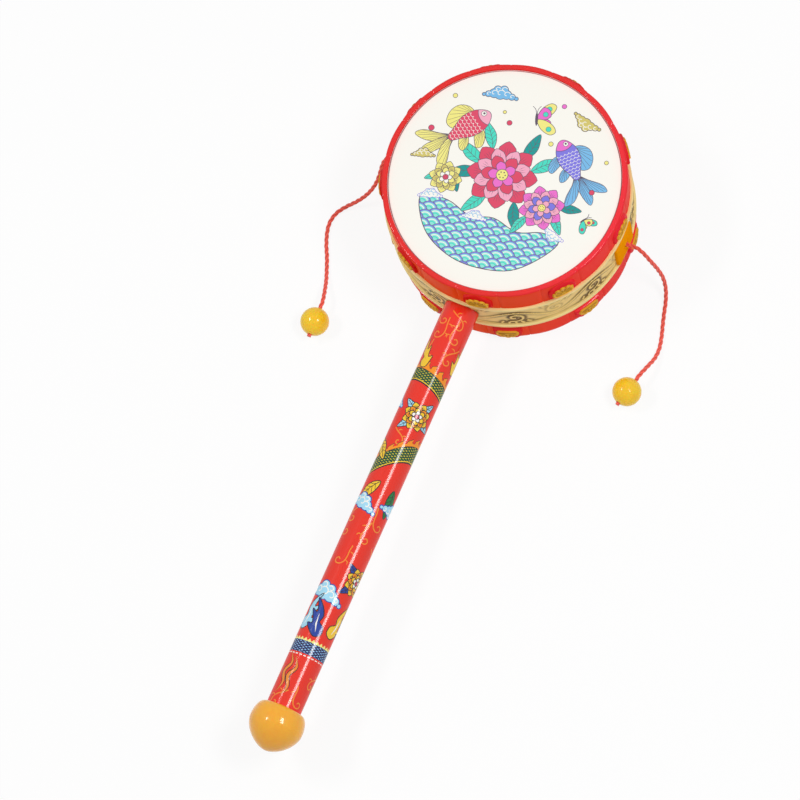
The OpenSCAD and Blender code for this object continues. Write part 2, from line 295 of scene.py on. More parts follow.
class Finish:
    """A material, or the world's light, under construction."""

    def __init__(self, name, kind="materials"):
        self.material = getattr(bpy.data, kind).new(name)
        self.material.use_nodes = True
        self.nodes = self.material.node_tree.nodes
        self.links = self.material.node_tree.links
        self.nodes.clear()

    def add(self, kind, settings=None, sockets=None, out=0):
        """One node: its settings first, then the values or links of its sockets."""
        node = self.nodes.new("ShaderNode" + kind)
        for name, value in (settings or {}).items():
            setattr(node, name, value)
        for name, value in (sockets or {}).items():
            if isinstance(value, Signal):
                self.links.new(value.socket, node.inputs[name])
            else:
                node.inputs[name].default_value = value
        return Signal(self, node.outputs[out]) if node.outputs else None

    def blend(self, factor, first, second, mode="MIX"):
        """Two colours mixed by a factor."""
        settings = {"data_type": "RGBA", "blend_type": mode}
        return self.add("Mix", settings, {0: factor, 6: first, 7: second}, out=2)

    def noise(self, scale, detail=3.0, place=None):
        """Noise about 0.5, in waves of so many per metre."""
        place = place or self.add("TexCoord", out=3)
        return self.add("TexNoise", None, {"Vector": place, "Scale": scale, "Detail": detail})

    def bump(self, height, depth):
        """A normal from a height signal, with its depth in millimetres."""
        return self.add("Bump", None, {"Height": height, "Distance": depth * MM, "Strength": 1.0})

    def surface(self, **sockets):
        """The material, from the sockets of its principled shader."""
        named = {name.replace("_", " "): value for name, value in sockets.items()}
        shader = self.add("BsdfPrincipled", None, named)
        self.output(shader)
        return self.material

    def output(self, shader):
        """Ends a material in its shader."""
        self.add("OutputMaterial", None, {"Surface": shader})


def linear(colour):
    """A screen colour as linear light, with full alpha."""
    return tuple(c / 12.92 if c <= 0.04045 else ((c + 0.055) / 1.055) ** 2.4 for c in colour) + (1.0,)


def shade(colour, factor):
    """A screen colour made darker or lighter, as linear light."""
    return linear(tuple(min(c * factor, 1.0) for c in colour))


def moulded_plastic(name, colour, roughness):
    """Moulded plastic in one colour: faint flow marks and a fine grain."""
    finish = Finish(name)
    flow = finish.noise(60.0)
    fine = finish.noise(2700.0)
    base = finish.blend(flow, shade(colour, 0.95), shade(colour, 1.05))
    return finish.surface(
        Base_Color=base, Roughness=roughness + (flow - 0.5) * 0.2,
        Normal=finish.bump(fine, 0.012), Specular_IOR_Level=0.03)


def translucent_plastic(name, colour, glow, roughness=0.22, coat=0.35, shine=0.1):
    """Cloudy coloured plastic that light sinks into."""
    finish = Finish(name)
    cloud = finish.noise(140.0, detail=4.0)
    base = finish.blend(cloud, shade(colour, 0.94), shade(colour, 1.06))
    return finish.surface(
        Base_Color=base, Roughness=roughness + (cloud - 0.5) * 0.14,
        Normal=finish.bump(finish.noise(700.0), 0.02), Specular_IOR_Level=shine,
        Subsurface_Weight=glow, Subsurface_Scale=2.5 * MM, Subsurface_Radius=(1.0, 0.5, 0.12),
        Coat_Weight=coat, Coat_Roughness=0.08)


def printed_sheet(name, roughness, coat, fibre):
    """A surface whose colour is the ink on its mesh, under a clear coat, with a fine grain."""
    finish = Finish(name)
    ink = finish.add("Attribute", {"attribute_name": "ink"})
    patch = finish.noise(110.0, detail=5.0)
    grain = finish.noise(2600.0)
    worn = finish.blend(0.05, ink, patch, "OVERLAY")
    speckled = finish.blend(0.05, worn, grain, "OVERLAY")
    return finish.surface(
        Base_Color=speckled, Roughness=roughness + (patch - 0.5) * 0.16, Specular_IOR_Level=0.0,
        Normal=finish.bump(grain, fibre), Coat_Weight=coat, Coat_Roughness=0.15, Coat_IOR=1.6)


def hoop_plastic(name, painted_sheen):
    """Red plastic with a painted reflection: its red turns to a pinkish sheen across the drum, towards the
    right. Glossiest on its lips.
    """
    finish = Finish(name)
    ink = finish.add("Attribute", {"attribute_name": "ink"})
    place = finish.add("TexCoord", out=3)
    flow = finish.noise(45.0, place=place)
    x = finish.add("SeparateXYZ", None, {0: place})
    # Painted reflection: a pinkish sheen that starts about 9 mm right of the drum's middle and is whole at
    # its right edge
    aside = finish.add("Clamp", None, {"Value": x * 28.0 + flow * 0.6 - 0.55})
    sheened_red = finish.blend(aside * 0.75, ink, linear(painted_sheen))
    base = finish.blend(0.12, sheened_red, flow, "OVERLAY")
    upward = finish.add("SeparateXYZ", None, {0: finish.add("NewGeometry", out=1)}, out=2)
    return finish.surface(
        Base_Color=base, Roughness=0.34 + (flow - 0.5) * 0.2, Specular_IOR_Level=0.006,
        Normal=finish.bump(finish.noise(1500.0), 0.015),
        Coat_Weight=upward * upward * 0.45, Coat_Roughness=0.12)


def gilt(name, high, low, metal, roughness, patchy=0.35):
    """Gold paint, bright where its ink is high and dark where it is low. On the fans the ink follows the
    relief, so their hollows get painted shade; on the band it is partly dark print and partly painted shade
    beside the scrolls.
    """
    finish = Finish(name)
    relief = finish.add("Attribute", {"attribute_name": "ink"}, out=2)
    blotch = finish.noise(420.0, detail=6.0)
    level = finish.add("Clamp", None, {"Value": relief + (blotch - 0.5) * patchy})
    base = finish.blend(level, linear(low), linear(high))
    grain = finish.noise(2400.0)
    return finish.surface(
        Base_Color=base, Metallic=metal, Roughness=roughness + (blotch - 0.5) * 0.3,
        Normal=finish.bump(blotch + grain * 0.5, 0.05), Specular_IOR_Level=0.04)


def twisted_yarn(name, colour):
    """Soft twisted yarn with painted shade, dark between the plies, and fine fibres along them."""
    finish = Finish(name)
    # The ink's level is painted shade: darker where a ply faces the cord's middle
    across = finish.add("Attribute", {"attribute_name": "ink"}, out=2)
    fibre = finish.noise(1900.0, detail=8.0)
    patch = finish.noise(260.0)
    shaded = finish.blend(across, shade(colour, 0.55), shade(colour, 1.08))
    base = finish.blend((fibre + patch) * 0.32, shaded, shade(colour, 1.35))
    return finish.surface(
        Base_Color=base, Roughness=0.85, Normal=finish.bump(fibre, 0.12),
        Sheen_Weight=0.4, Sheen_Roughness=0.5)


def seen_rays(finish):
    """1 for the rays that show a background: the camera's, the reflected and the refracted ones."""
    path = finish.add("LightPath").socket.node
    camera, glossy, through = (Signal(finish, path.outputs[kind]) for kind in
                               ("Is Camera Ray", "Is Glossy Ray", "Is Transmission Ray"))
    return finish.add("Clamp", None, {"Value": camera + glossy + through})


def studio_floor(name, share):
    """White floor that keeps the shadows, with a share of plain white for the camera and reflections."""
    finish = Finish(name)
    dull = finish.add("BsdfDiffuse", None, {"Color": (0.94, 0.94, 0.94, 1.0)})
    white = finish.add("Emission", None, {"Color": WHITE, "Strength": 1.0})
    finish.output(finish.add("MixShader", None, {0: seen_rays(finish) * share, 1: dull, 2: white}))
    return finish.material


# Curves and places in the plane

def polar(radius, bearing):
    """The point at a distance and bearing from the plane's origin."""
    return Vector((radius * math.cos(bearing), radius * math.sin(bearing)))


def arc(centre, radius, start, end, steps):
    """Points along an arc, ends included."""
    return [Vector(centre) + polar(radius, start + (end - start) * i / steps) for i in range(steps + 1)]


def disc(centre, radius, sides):
    """A closed round outline."""
    return arc(centre, radius, 0, TURN, sides)[:-1]


# Bearings along a rounded edge, which is a quarter of a turn
QUARTER = [math.pi / 2 * i / 4 for i in range(5)]


def smooth(points, closed=True, steps=5):
    """A soft curve through given points, in any number of dimensions."""
    points = [Vector(p) for p in points]
    count = len(points)
    curve = []
    for i in range(count if closed else count - 1):
        if closed:
            a, b, c, d = (points[(i + k) % count] for k in (-1, 0, 1, 2))
        else:
            b, c = points[i], points[i + 1]
            a = points[i - 1] if i > 0 else b * 2 - c
            d = points[i + 2] if i + 2 < count else c * 2 - b
        for k in range(steps):
            t = k / steps
            curve.append((b * 2 + (c - a) * t + (a * 2 - b * 5 + c * 4 - d) * t * t
                          + (b * 3 - a - c * 3 + d) * t * t * t) / 2)
    if not closed:
        curve.append(points[-1])
    return curve


def placed(points, at, turn=0.0, size=1.0, flip=False):
    """Points of a motif scaled, turned and moved to their place."""
    cos, sin = math.cos(turn) * size, math.sin(turn) * size
    side = -1 if flip else 1
    return [Vector((at[0] + p[0] * cos - side * p[1] * sin, at[1] + p[0] * sin + side * p[1] * cos))
            for p in points]


def box_of(loop):
    """A loop's lowest x and y, and its highest x and y."""
    across, along = [p[0] for p in loop], [p[1] for p in loop]
    return min(across), min(along), max(across), max(along)


def cut_sheet(loops, cuts=(), dots=()):
    """Triangles over a flat sheet, cut along every closed loop and every open line."""
    points, edges = [], []
    for line in [*(loop + loop[:1] for loop in loops), *cuts]:
        start = len(points)
        points.extend(line)
        edges.extend((i, i + 1) for i in range(start, len(points) - 1))
    points.extend(dots)
    flat = [Vector((p[0], p[1])) for p in points]
    spots, _, triangles, _, _, _ = delaunay_2d_cdt(flat, edges, [], 0, 1e-5, False)
    return spots, [list(triangle) for triangle in triangles]


class Middles:
    """The middles of a sheet's triangles, sorted so that those inside a loop are quickly found."""

    def __init__(self, spots, triangles):
        corners = numpy.array([tuple(p) for p in spots])[numpy.array(triangles)]
        places = corners.mean(axis=1)
        self.order = numpy.argsort(places[:, 0])
        self.x, self.y = places[self.order].T

    def inside(self, loop):
        """Numbers of the triangles whose middle lies inside a loop."""
        ax, ay = numpy.array([tuple(p) for p in loop]).T
        first, last = numpy.searchsorted(self.x, (ax.min(), ax.max()))
        y = self.y[first:last]
        near = first + numpy.flatnonzero((y > ay.min()) & (y < ay.max()))
        x, y = self.x[near], self.y[near]
        within = numpy.zeros(len(near), bool)
        for x0, y0, x1, y1 in zip(ax, ay, numpy.roll(ax, -1), numpy.roll(ay, -1)):
            if y0 != y1:
                within ^= ((y0 > y) != (y1 > y)) & (x < x0 + (y - y0) * (x1 - x0) / (y1 - y0))
        return self.order[near[within]]


class Print:
    """A flat drawing in millimetres, whose later colours lie over the earlier ones."""

    def __init__(self, outline, colour, cuts=()):
        self.outline = outline
        self.ground = linear(colour)
        self.cuts = cuts
        self.rims = [outline]
        self.layers = []
        self.boxes = {None: box_of(outline)}

    def fill(self, loop, colour, within=None, parts=None):
        """Fills a loop, inside another one if that is named. Returns its number, or -1 if it is left out."""
        if within == -1:
            return -1
        box, (x0, y0, x1, y1) = box_of(loop), self.boxes[within]
        if box[0] > x1 or box[1] > y1 or box[2] < x0 or box[3] < y0:
            return -1
        number = len(self.layers)
        self.rims.append(loop)
        self.layers.append((parts or [loop], linear(colour), within))
        self.boxes[number] = box
        return number

    def line(self, points, width, colour, within=None, taper=False):
        """Draws a line of a width, which may thin out towards both ends."""
        last = len(points) - 1
        left, right = [], []
        for i, point in enumerate(points):
            along = points[min(i + 1, last)] - points[max(i - 1, 0)]
            if points[0] == points[-1] and i in (0, last):
                along = points[1] - points[last - 1]
            half = width / 2 * (max(math.sin(math.pi * i / last), 0.12) if taper else 1)
            across = Vector((-along.y, along.x)).normalized() * half
            left.append(point + across)
            right.append(point - across)
        steps = [[left[i], left[i + 1], right[i + 1], right[i]] for i in range(last)]
        self.fill(left + right[::-1], colour, within, steps)

    def shape(self, loop, colour, edge, ink, within=None):
        """Fills a loop and draws its edge."""
        layer = self.fill(loop, colour, within)
        self.line(loop + loop[:1], edge, ink, within)
        return layer

    def sheet(self):
        """The drawing's points, its triangles and the colour of each."""
        spots, triangles = cut_sheet(self.rims, self.cuts)
        middles = Middles(spots, triangles)
        top = numpy.full(len(triangles), -1)
        held = {}
        limits = {within for _, _, within in self.layers}
        for number, (parts, _, within) in enumerate(self.layers):
            for part in parts:
                found = middles.inside(part)
                if within is not None:
                    found = found[held[within][found]]
                top[found] = number
            if number in limits:
                held[number] = top == number
        kept = sorted(middles.inside(self.outline))
        colours = [self.ground] + [colour for _, colour, _ in self.layers]
        return spots, [triangles[i] for i in kept], [colours[top[i] + 1] for i in kept]


# Motifs that the prints are made of. Each is drawn about its own middle, in mm at size 1.

def petal_loop(reach, width, waves=3, depth=0.05, steps=22):
    """A petal that starts at the middle and widens towards a wavy tip along +X."""
    points = []
    for i in range(steps):
        t = TURN * i / steps
        ripple = 1 + depth * math.cos(2 * waves * t) * max(0, math.cos(t))
        points.append(Vector((reach / 2 * (1 + math.cos(t) * ripple),
                              width / 2 * math.sin(t) * (0.8 + 0.2 * math.cos(t)) * ripple)))
    return points


def draw_peony(picture, at, size, turn, shades, core, line, edge=0.2):
    """A full flower: rings of petals that get smaller and paler inwards, round a dotted core."""
    # The petals of each ring: how many, their length and their width
    rings = ((8, 1.0, 0.66), (8, 0.8, 0.5), (6, 0.6, 0.44), (5, 0.4, 0.34))
    for index, (count, reach, width) in enumerate(rings):
        for k in range(count):
            bearing = turn + TURN * (k + 0.5 * (index % 2)) / count
            loop = placed(petal_loop(reach, width), at, bearing, size)
            petal = picture.shape(loop, shades[index % len(shades)], edge, line)
            if index < 2:
                for lean in (-0.12, 0, 0.12):
                    vein = [Vector((reach * t, lean * t * t)) for t in (0.6, 0.72, 0.84)]
                    picture.line(placed(vein, at, bearing, size), edge * 0.6, line, petal, taper=True)
    picture.shape(disc(at, size * 0.17, 16), core, edge, line)
    for k in range(6):
        dot = Vector(at) + polar(size * 0.09, turn + TURN * k / 6)
        picture.fill(disc(dot, size * 0.022, 6), line)


LEAF = ((0, 0), (2.2, 1.5), (5.2, 2.1), (8.2, 1.2), (10.6, -0.3), (8.0, -1.5), (4.6, -1.9), (1.8, -1.3))


def draw_leaf(picture, at, size, turn, colour, line, flip=False, edge=0.2):
    """A pointed leaf with its veins."""
    leaf = picture.shape(placed(smooth(LEAF, steps=4), at, turn, size, flip), colour, edge, line)
    rib = smooth(((0.4, 0), (4, 0.3), (7.4, 0.1), (9.8, -0.2)), closed=False, steps=4)
    picture.line(placed(rib, at, turn, size, flip), edge * 0.8, line, leaf)
    for x in (1.8, 3.4, 5.0, 6.6):
        for side in (-1, 1):
            vein = [Vector((x, 0.2)), Vector((x + 0.9, side * 0.8)), Vector((x + 1.6, side * 1.9))]
            picture.line(placed(vein, at, turn, size, flip), edge * 0.6, line, leaf)


FISH_BODY = (
    (10, 0.1), (8.8, 2.2), (5.4, 4.1), (0.8, 4.3), (-3.8, 2.3), (-6.6, 1.0), (-6.6, -1.0), (-3.6, -2.2),
    (0.8, -3.9), (5.4, -3.8), (8.8, -2.0))
FISH_TAIL = (
    ((-5.6, 0.8), (-8.4, 3.4), (-12.4, 7.6), (-15.6, 8.2), (-14.4, 4.8), (-11.2, 1.6), (-7.6, 0.1)),
    ((-5.8, 0.4), (-9.4, 1.9), (-15.4, 2.6), (-18.2, 0.6), (-14.6, -0.9), (-9.4, -1.3), (-6.2, -0.5)),
    ((-5.6, -0.8), (-8.2, -2.8), (-11.6, -6.6), (-14.8, -8.4), (-14.6, -4.6), (-11.0, -1.2), (-7.6, 0.1)),
)
FISH_FINS = (
    ((5.4, 3.6), (5.0, 6.4), (2.2, 8.6), (-1.6, 8.2), (-4.6, 5.4), (-3.4, 2.2), (1.2, 3.4)),
    ((4.6, -3.2), (4.0, -6.2), (1.4, -8.6), (-0.8, -8.0), (0.2, -5.2), (1.8, -3.0)),
    ((-1.0, -2.8), (-2.4, -5.4), (-5.2, -6.4), (-5.6, -4.4), (-3.6, -1.8)),
)


def draw_fish(picture, at, size, turn, body, fin, head, line, pale, flip=False, edge=0.2):
    """A goldfish with a flowing tail and rows of scales."""
    def put(points):
        return placed(points, at, turn, size, flip)

    gill, gill_r = (11.0, 0), 5.2
    for points in FISH_TAIL + FISH_FINS:
        loop = smooth(points, steps=4)
        shape = picture.shape(put(loop), fin, edge, line)
        root = (loop[0] + loop[-1]) / 2
        for k in range(5, len(loop) - 5, 2):
            ray = [root, root.lerp(loop[k], 0.5), root.lerp(loop[k], 0.94)]
            picture.line(put(ray), edge * 0.6, line, shape)
    trunk = picture.fill(put(smooth(FISH_BODY)), body)
    picture.fill(put(disc(gill, gill_r, 28)), head, trunk)
    for column in range(9):
        for row in range(-3, 4):
            middle = (4.6 - column * 1.25, row * 1.5 + (column % 2) * 0.75)
            picture.line(put(arc(middle, 0.8, math.pi * 0.55, math.pi * 1.45, 5)), edge * 0.75, pale, trunk)
    picture.line(put(arc(gill, gill_r, math.pi * 0.7, math.pi * 1.3, 8)), edge, line, trunk)
    picture.line(put(smooth(FISH_BODY) + [Vector(FISH_BODY[0])]), edge, line)
    picture.shape(put(disc((8.0, 1.1), 0.95, 14)), pale, edge * 0.8, line)
    picture.fill(put(disc((8.1, 1.1), 0.42, 10)), line)


# Place and radius of each round of a cloud, the larger ones first
CLOUD = (
    (0, 0, 3.1), (3.5, -0.1, 2.5), (-3.4, -0.2, 2.5), (6.6, -0.9, 1.7), (-6.4, -1.0, 1.6), (1.6, 2.5, 2.2),
    (-1.9, 2.3, 1.9), (9.2, -1.5, 0.9), (-8.8, -1.6, 0.8))


def draw_cloud(picture, at, size, turn, fill, line, curl, flip=False, edge=0.22):
    """A heaped cloud of rounds, with a curl in each of the larger ones."""
    for grow, colour in ((edge / size, line), (0, fill)):
        for x, y, r in CLOUD:
            picture.fill(placed(disc((x, y), r + grow, 26), at, turn, size, flip), colour)
    for x, y, r in CLOUD[:7]:
        spiral = [Vector((x, y)) + polar(r * (0.85 - 0.09 * i), 0.5 + 0.55 * i) for i in range(9)]
        picture.line(placed(smooth(spiral, closed=False, steps=2), at, turn, size, flip), edge * 1.1, curl)


WINGS = (((0.2, 0.3), (1.6, 3.6), (4.6, 5.6), (6.6, 4.6), (5.6, 2.2), (2.8, 0.4)),
         ((0.2, -0.1), (2.8, 0.2), (4.8, -1.0), (4.4, -3.2), (2.4, -4.2), (0.9, -2.4)))


def draw_butterfly(picture, at, size, turn, upper, lower, line, pale, edge=0.2):
    """A butterfly with spotted wings."""
    for flip in (False, True):
        for points, colour, spot in ((WINGS[1], lower, (3.0, -1.7)), (WINGS[0], upper, (4.2, 3.6))):
            wing = picture.shape(placed(smooth(points), at, turn, size, flip), colour, edge, line)
            eye = placed(disc(spot, 0.9, 12), at, turn, size, flip)
            picture.shape(eye, pale, edge * 0.7, line, wing)
        feeler = smooth(((2.2, 0.1), (3.6, 0.5), (4.6, 1.4)), closed=False, steps=3)
        picture.line(placed(feeler, at, turn + math.pi / 2, size, flip), edge, line)
    body = [Vector((2.4 * math.cos(TURN * i / 16), 0.5 * math.sin(TURN * i / 16))) for i in range(16)]
    picture.fill(placed(body, at, turn + math.pi / 2, size), line)


def draw_scales(picture, within, low, high, radius, lines, steps=7):
    """Rows of overlapping rounds. Each one shows the part of its lines that lies above the next rows."""
    side_lean, side_reach = math.atan(0.5), 2 * math.hypot(1, 0.5)
    for row in range(int((high[1] - low[1]) / (radius / 2)) + 2):
        y = high[1] - row * radius / 2
        x = low[0] - radius * (1 + row % 2)
        while x < high[0] + radius:
            for share, width, colour in lines:
                lean = math.acos((share ** 2 + 0.25) / (share * side_reach)) - side_lean
                picture.line(arc((x, y), radius * share, lean, math.pi - lean, steps), width, colour, within)
            x += 2 * radius


def draw_curl(picture, at, size, turn, colour, width, flip=False):
    """A thin scroll: a stem that ends in a curl, with two short barbs."""
    stem = ((-5.2, -1.4), (-3.0, -0.4), (-1.0, 0.9), (1.2, 1.7), (3.2, 1.1), (3.9, -0.5), (2.9, -1.6),
            (1.7, -1.0), (1.9, 0.0))
    picture.line(placed(smooth(stem, closed=False, steps=4), at, turn, size, flip), width, colour)
    for points in (((-2.8, -0.2), (-3.4, 1.0), (-3.0, 2.2)), ((0.4, 1.5), (0.2, 2.8), (1.2, 3.6))):
        barb = placed(smooth(points, closed=False, steps=3), at, turn, size, flip)
        picture.line(barb, width, colour, taper=True)


FLAME = ((0, -1.6), (2.2, -1.9), (3.6, -0.7), (5.4, -1.5), (8.2, -0.9), (10.8, 0.9), (8.0, 0.5), (6.4, 0.6),
         (7.6, 2.2), (5.0, 1.5), (3.2, 1.5), (3.4, 3.0), (1.2, 1.9), (-0.6, 0.4))


def draw_flame(picture, at, size, turn, fill, line, flip=False, edge=0.24):
    """A flame of three tongues."""
    picture.shape(placed(smooth(FLAME, steps=3), at, turn, size, flip), fill, edge, line)


def head_print(inks):
    """The picture on a head, of goldfish, peonies, clouds and waves: its points, triangles and colours."""
    line, shade_line_r = inks.line, SHELL_R - 0.95
    picture = Print(disc((0, 0), HEAD_R, HEAD_SIDES), inks.paper)
    # Painted shade: a thin darker line round the head just inside the lip's edge, where the head meets the
    # lip
    picture.line(arc((0, 0), shade_line_r, 0, TURN, HEAD_SIDES), 0.3, inks.rim)
    sea = smooth((
        (-24, -14.5), (-15, -13.2), (-6, -15.6), (2, -13.6), (11, -15.4), (19, -12.6), (25.5, -13.6),
        (22, -21), (14.5, -28.5), (4, -31.6), (-6, -31.4), (-15.5, -27.6), (-21.5, -21.5)))
    water = picture.shape(sea, inks.foam, 0.3, line)
    draw_scales(picture, water, (-26, -33), (26, -11), 3.1, (
        (0.9, 0.4, inks.violet), (1.0, 0.16, line), (0.66, 0.3, inks.paper), (0.42, 0.4, inks.teal)))
    picture.line(sea + sea[:1], 0.3, line)
    for x, y, turn, flip in (
            (-21.5, -13.4, 0.3, False), (22.5, -12.2, -0.3, True), (-4.5, -15.2, 0.15, False)):
        draw_cloud(picture, (x, y), 0.42, turn, inks.paper, inks.violet, inks.sky, flip, 0.18)
    for x, y, size, turn, colour, flip in (
            (-9, 3, 1.1, 2.75, inks.teal, False), (-9, 0, 1.05, 3.5, inks.sea, True),
            (-4, -6, 1.0, 4.2, inks.teal, False), (6, -6, 0.95, 5.1, inks.sea, True),
            (7, 6, 1.05, 0.75, inks.teal, False), (3, 9, 1.0, 1.35, inks.sea, True),
            (-8, 9, 0.95, 2.15, inks.teal, True), (19, -5, 0.8, 5.5, inks.teal, False),
            (20, -2, 0.8, 0.1, inks.sea, True), (12, -9, 0.75, 4.3, inks.teal, True),
            (-20, -4, 0.7, 3.9, inks.teal, False), (-17, -3, 0.7, 5.2, inks.sea, True)):
        draw_leaf(picture, (x, y), size, turn, colour, line, flip)
    draw_fish(picture, (-19.5, 12.5), 0.98, 0.95, inks.rose, inks.yellow, inks.pink, line, inks.paper)
    draw_fish(picture, (18.5, 13.5), 0.9, 2.35, inks.violet, inks.sky, inks.magenta, line, inks.paper, True)
    for x, y, size, turn, shades, core in (
            (-1.5, 1.5, 11.8, 0.2, (inks.rose, inks.pink, inks.rose, inks.magenta), inks.yellow),
            (15.5, -4.5, 7.6, 0.5, (inks.magenta, inks.pink, inks.violet, inks.pink), inks.yellow),
            (-19, -6.0, 5.6, 0.9, (inks.yellow, inks.straw, inks.yellow, inks.paper), inks.rose)):
        draw_peony(picture, (x, y), size, turn, shades, core, line)
    draw_butterfly(picture, (1.5, 24.0), 1.0, 0.35, inks.yellow, inks.magenta, line, inks.teal)
    draw_butterfly(picture, (30.2, -3.5), 0.6, -0.6, inks.teal, inks.yellow, line, inks.rose)
    for x, y, size, turn, colour, flip in (
            (-13.5, 28.0, 0.62, 0.2, inks.sky, False), (17.5, 28.5, 0.55, -0.25, inks.straw, True),
            (-29.5, -1.0, 0.42, 0.3, inks.straw, False)):
        draw_cloud(picture, (x, y), size, turn, colour, line, inks.paper, flip)
    for x, y, r, colour in (
            (-30.5, 8.5, 1.0, inks.rose), (9.5, 17.5, 0.8, inks.yellow), (-6.5, 19.5, 0.9, inks.rose),
            (29.0, 6.5, 0.9, inks.rose), (8.5, 31.5, 0.8, inks.magenta), (-9.5, 22.5, 0.6, inks.yellow),
            (-27.5, 22.0, 0.8, inks.yellow), (29.5, 18.0, 0.7, inks.yellow)):
        picture.shape(disc((x, y), r, 16), colour, 0.18, line)
    return picture.sheet()


# Meshes and pieces

# Distance within which points are merged, and length under which an edge is dissolved, in mm
MERGE_GAP = 0.0005
SHORTEST_EDGE = 0.0001


class Form:
    """A mesh under construction, in millimetres. Each face has one ink."""

    def __init__(self):
        self.points = []
        self.faces = []
        self.inks = []

    def add(self, points, faces, inks):
        """Adds faces on points of their own. inks is one ink, or one for each face."""
        start = len(self.points)
        self.points.extend(points)
        self.faces.extend([start + i for i in face] for face in faces)
        self.inks.extend(inks if isinstance(inks, list) else [inks] * len(faces))

    def grid(self, rows, ink, closed_rows=False, closed_columns=False):
        """Quads over rows of points. ink is one ink, or a function of the row and column."""
        width = len(rows[0])
        faces, inks = [], []
        for i in range(len(rows) if closed_rows else len(rows) - 1):
            for j in range(width if closed_columns else width - 1):
                after, beside = (i + 1) % len(rows), (j + 1) % width
                faces.append([i * width + j, i * width + beside, after * width + beside, after * width + j])
                inks.append(ink(i, j) if callable(ink) else ink)
        self.add([p for row in rows for p in row], faces, inks)

    def turned(self, matrix):
        """A copy of the form, moved by a matrix."""
        copy = Form()
        copy.points = [matrix @ Vector(p) for p in self.points]
        copy.faces, copy.inks = self.faces, self.inks
        return copy

    def join(self, other):
        """Adds another form to this one."""
        self.add(other.points, other.faces, other.inks)


def make_piece(name, form, finish, body, solids=(), sharp=35.0, facing=None):
    """A piece of the scene from a form: merged points, outward faces, smooth shading up to an angle in
    degrees. facing gives a face's corners their own shading directions. A piece without a body is left
    unattached."""
    mesh = bpy.data.meshes.new(name)
    mesh.from_pydata([Vector(p) * MM for p in form.points], [], form.faces)
    layer = mesh.color_attributes.new("ink", "FLOAT_COLOR", "CORNER")
    for polygon, ink in zip(mesh.polygons, form.inks):
        for corner in polygon.loop_indices:
            layer.data[corner].color = ink
    shaper = bmesh.new()
    shaper.from_mesh(mesh)
    bmesh.ops.remove_doubles(shaper, verts=shaper.verts, dist=MERGE_GAP * MM)
    bmesh.ops.dissolve_degenerate(shaper, edges=shaper.edges, dist=SHORTEST_EDGE * MM)
    bmesh.ops.recalc_face_normals(shaper, faces=shaper.faces)
    shaper.to_mesh(mesh)
    shaper.free()
    for polygon in mesh.polygons:
        polygon.use_smooth = True
    mesh.set_sharp_from_angle(angle=math.radians(sharp))
    if facing:
        mesh.normals_split_custom_set([
            normal for polygon in mesh.polygons
            for normal in facing([mesh.vertices[i].co / MM for i in polygon.vertices], polygon.normal)])
    mesh.materials.append(finish)
    piece = bpy.data.objects.new(name, mesh)
    bpy.context.scene.collection.objects.link(piece)
    if solids:
        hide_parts(*solids)
    if body:
        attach(piece, body)
    return piece


def level_ink(level):
    """An ink that carries one number from 0 to 1."""
    return (level, level, level, 1.0)


def on_drum(radius, bearing, z):
    """The point at a radius, bearing and height about Z."""
    return Vector((radius * math.cos(bearing), radius * math.sin(bearing), z))


def revolved(profile, steps, closed=True):
    """A form of (radius, height) points turned about Z, joined from the last to the first if closed."""
    form = Form()
    rows = [[on_drum(r, TURN * j / steps, z) for j in range(steps)] for r, z in profile]
    form.grid(rows, WHITE, closed_rows=closed, closed_columns=True)
    return form


# Mirrors the drum's front to its rear, and its right to its left
TO_REAR = Matrix.Translation((0, 0, DRUM_TOP)) @ Matrix.Scale(-1, 4, (0, 0, 1))
ACROSS = Matrix.Scale(-1, 4, (1, 0, 0))


# The studio

def camera_axes(studio):
    """The camera's right, up and backward directions."""
    a, e, roll = studio.azimuth, studio.elevation, studio.roll
    back = Vector((math.sin(a) * math.cos(e), -math.cos(a) * math.cos(e), math.sin(e)))
    right = Vector((math.cos(a), math.sin(a), 0))
    up = back.cross(right)
    cos, sin = math.cos(roll), math.sin(roll)
    return right * cos + up * sin, up * cos - right * sin, back


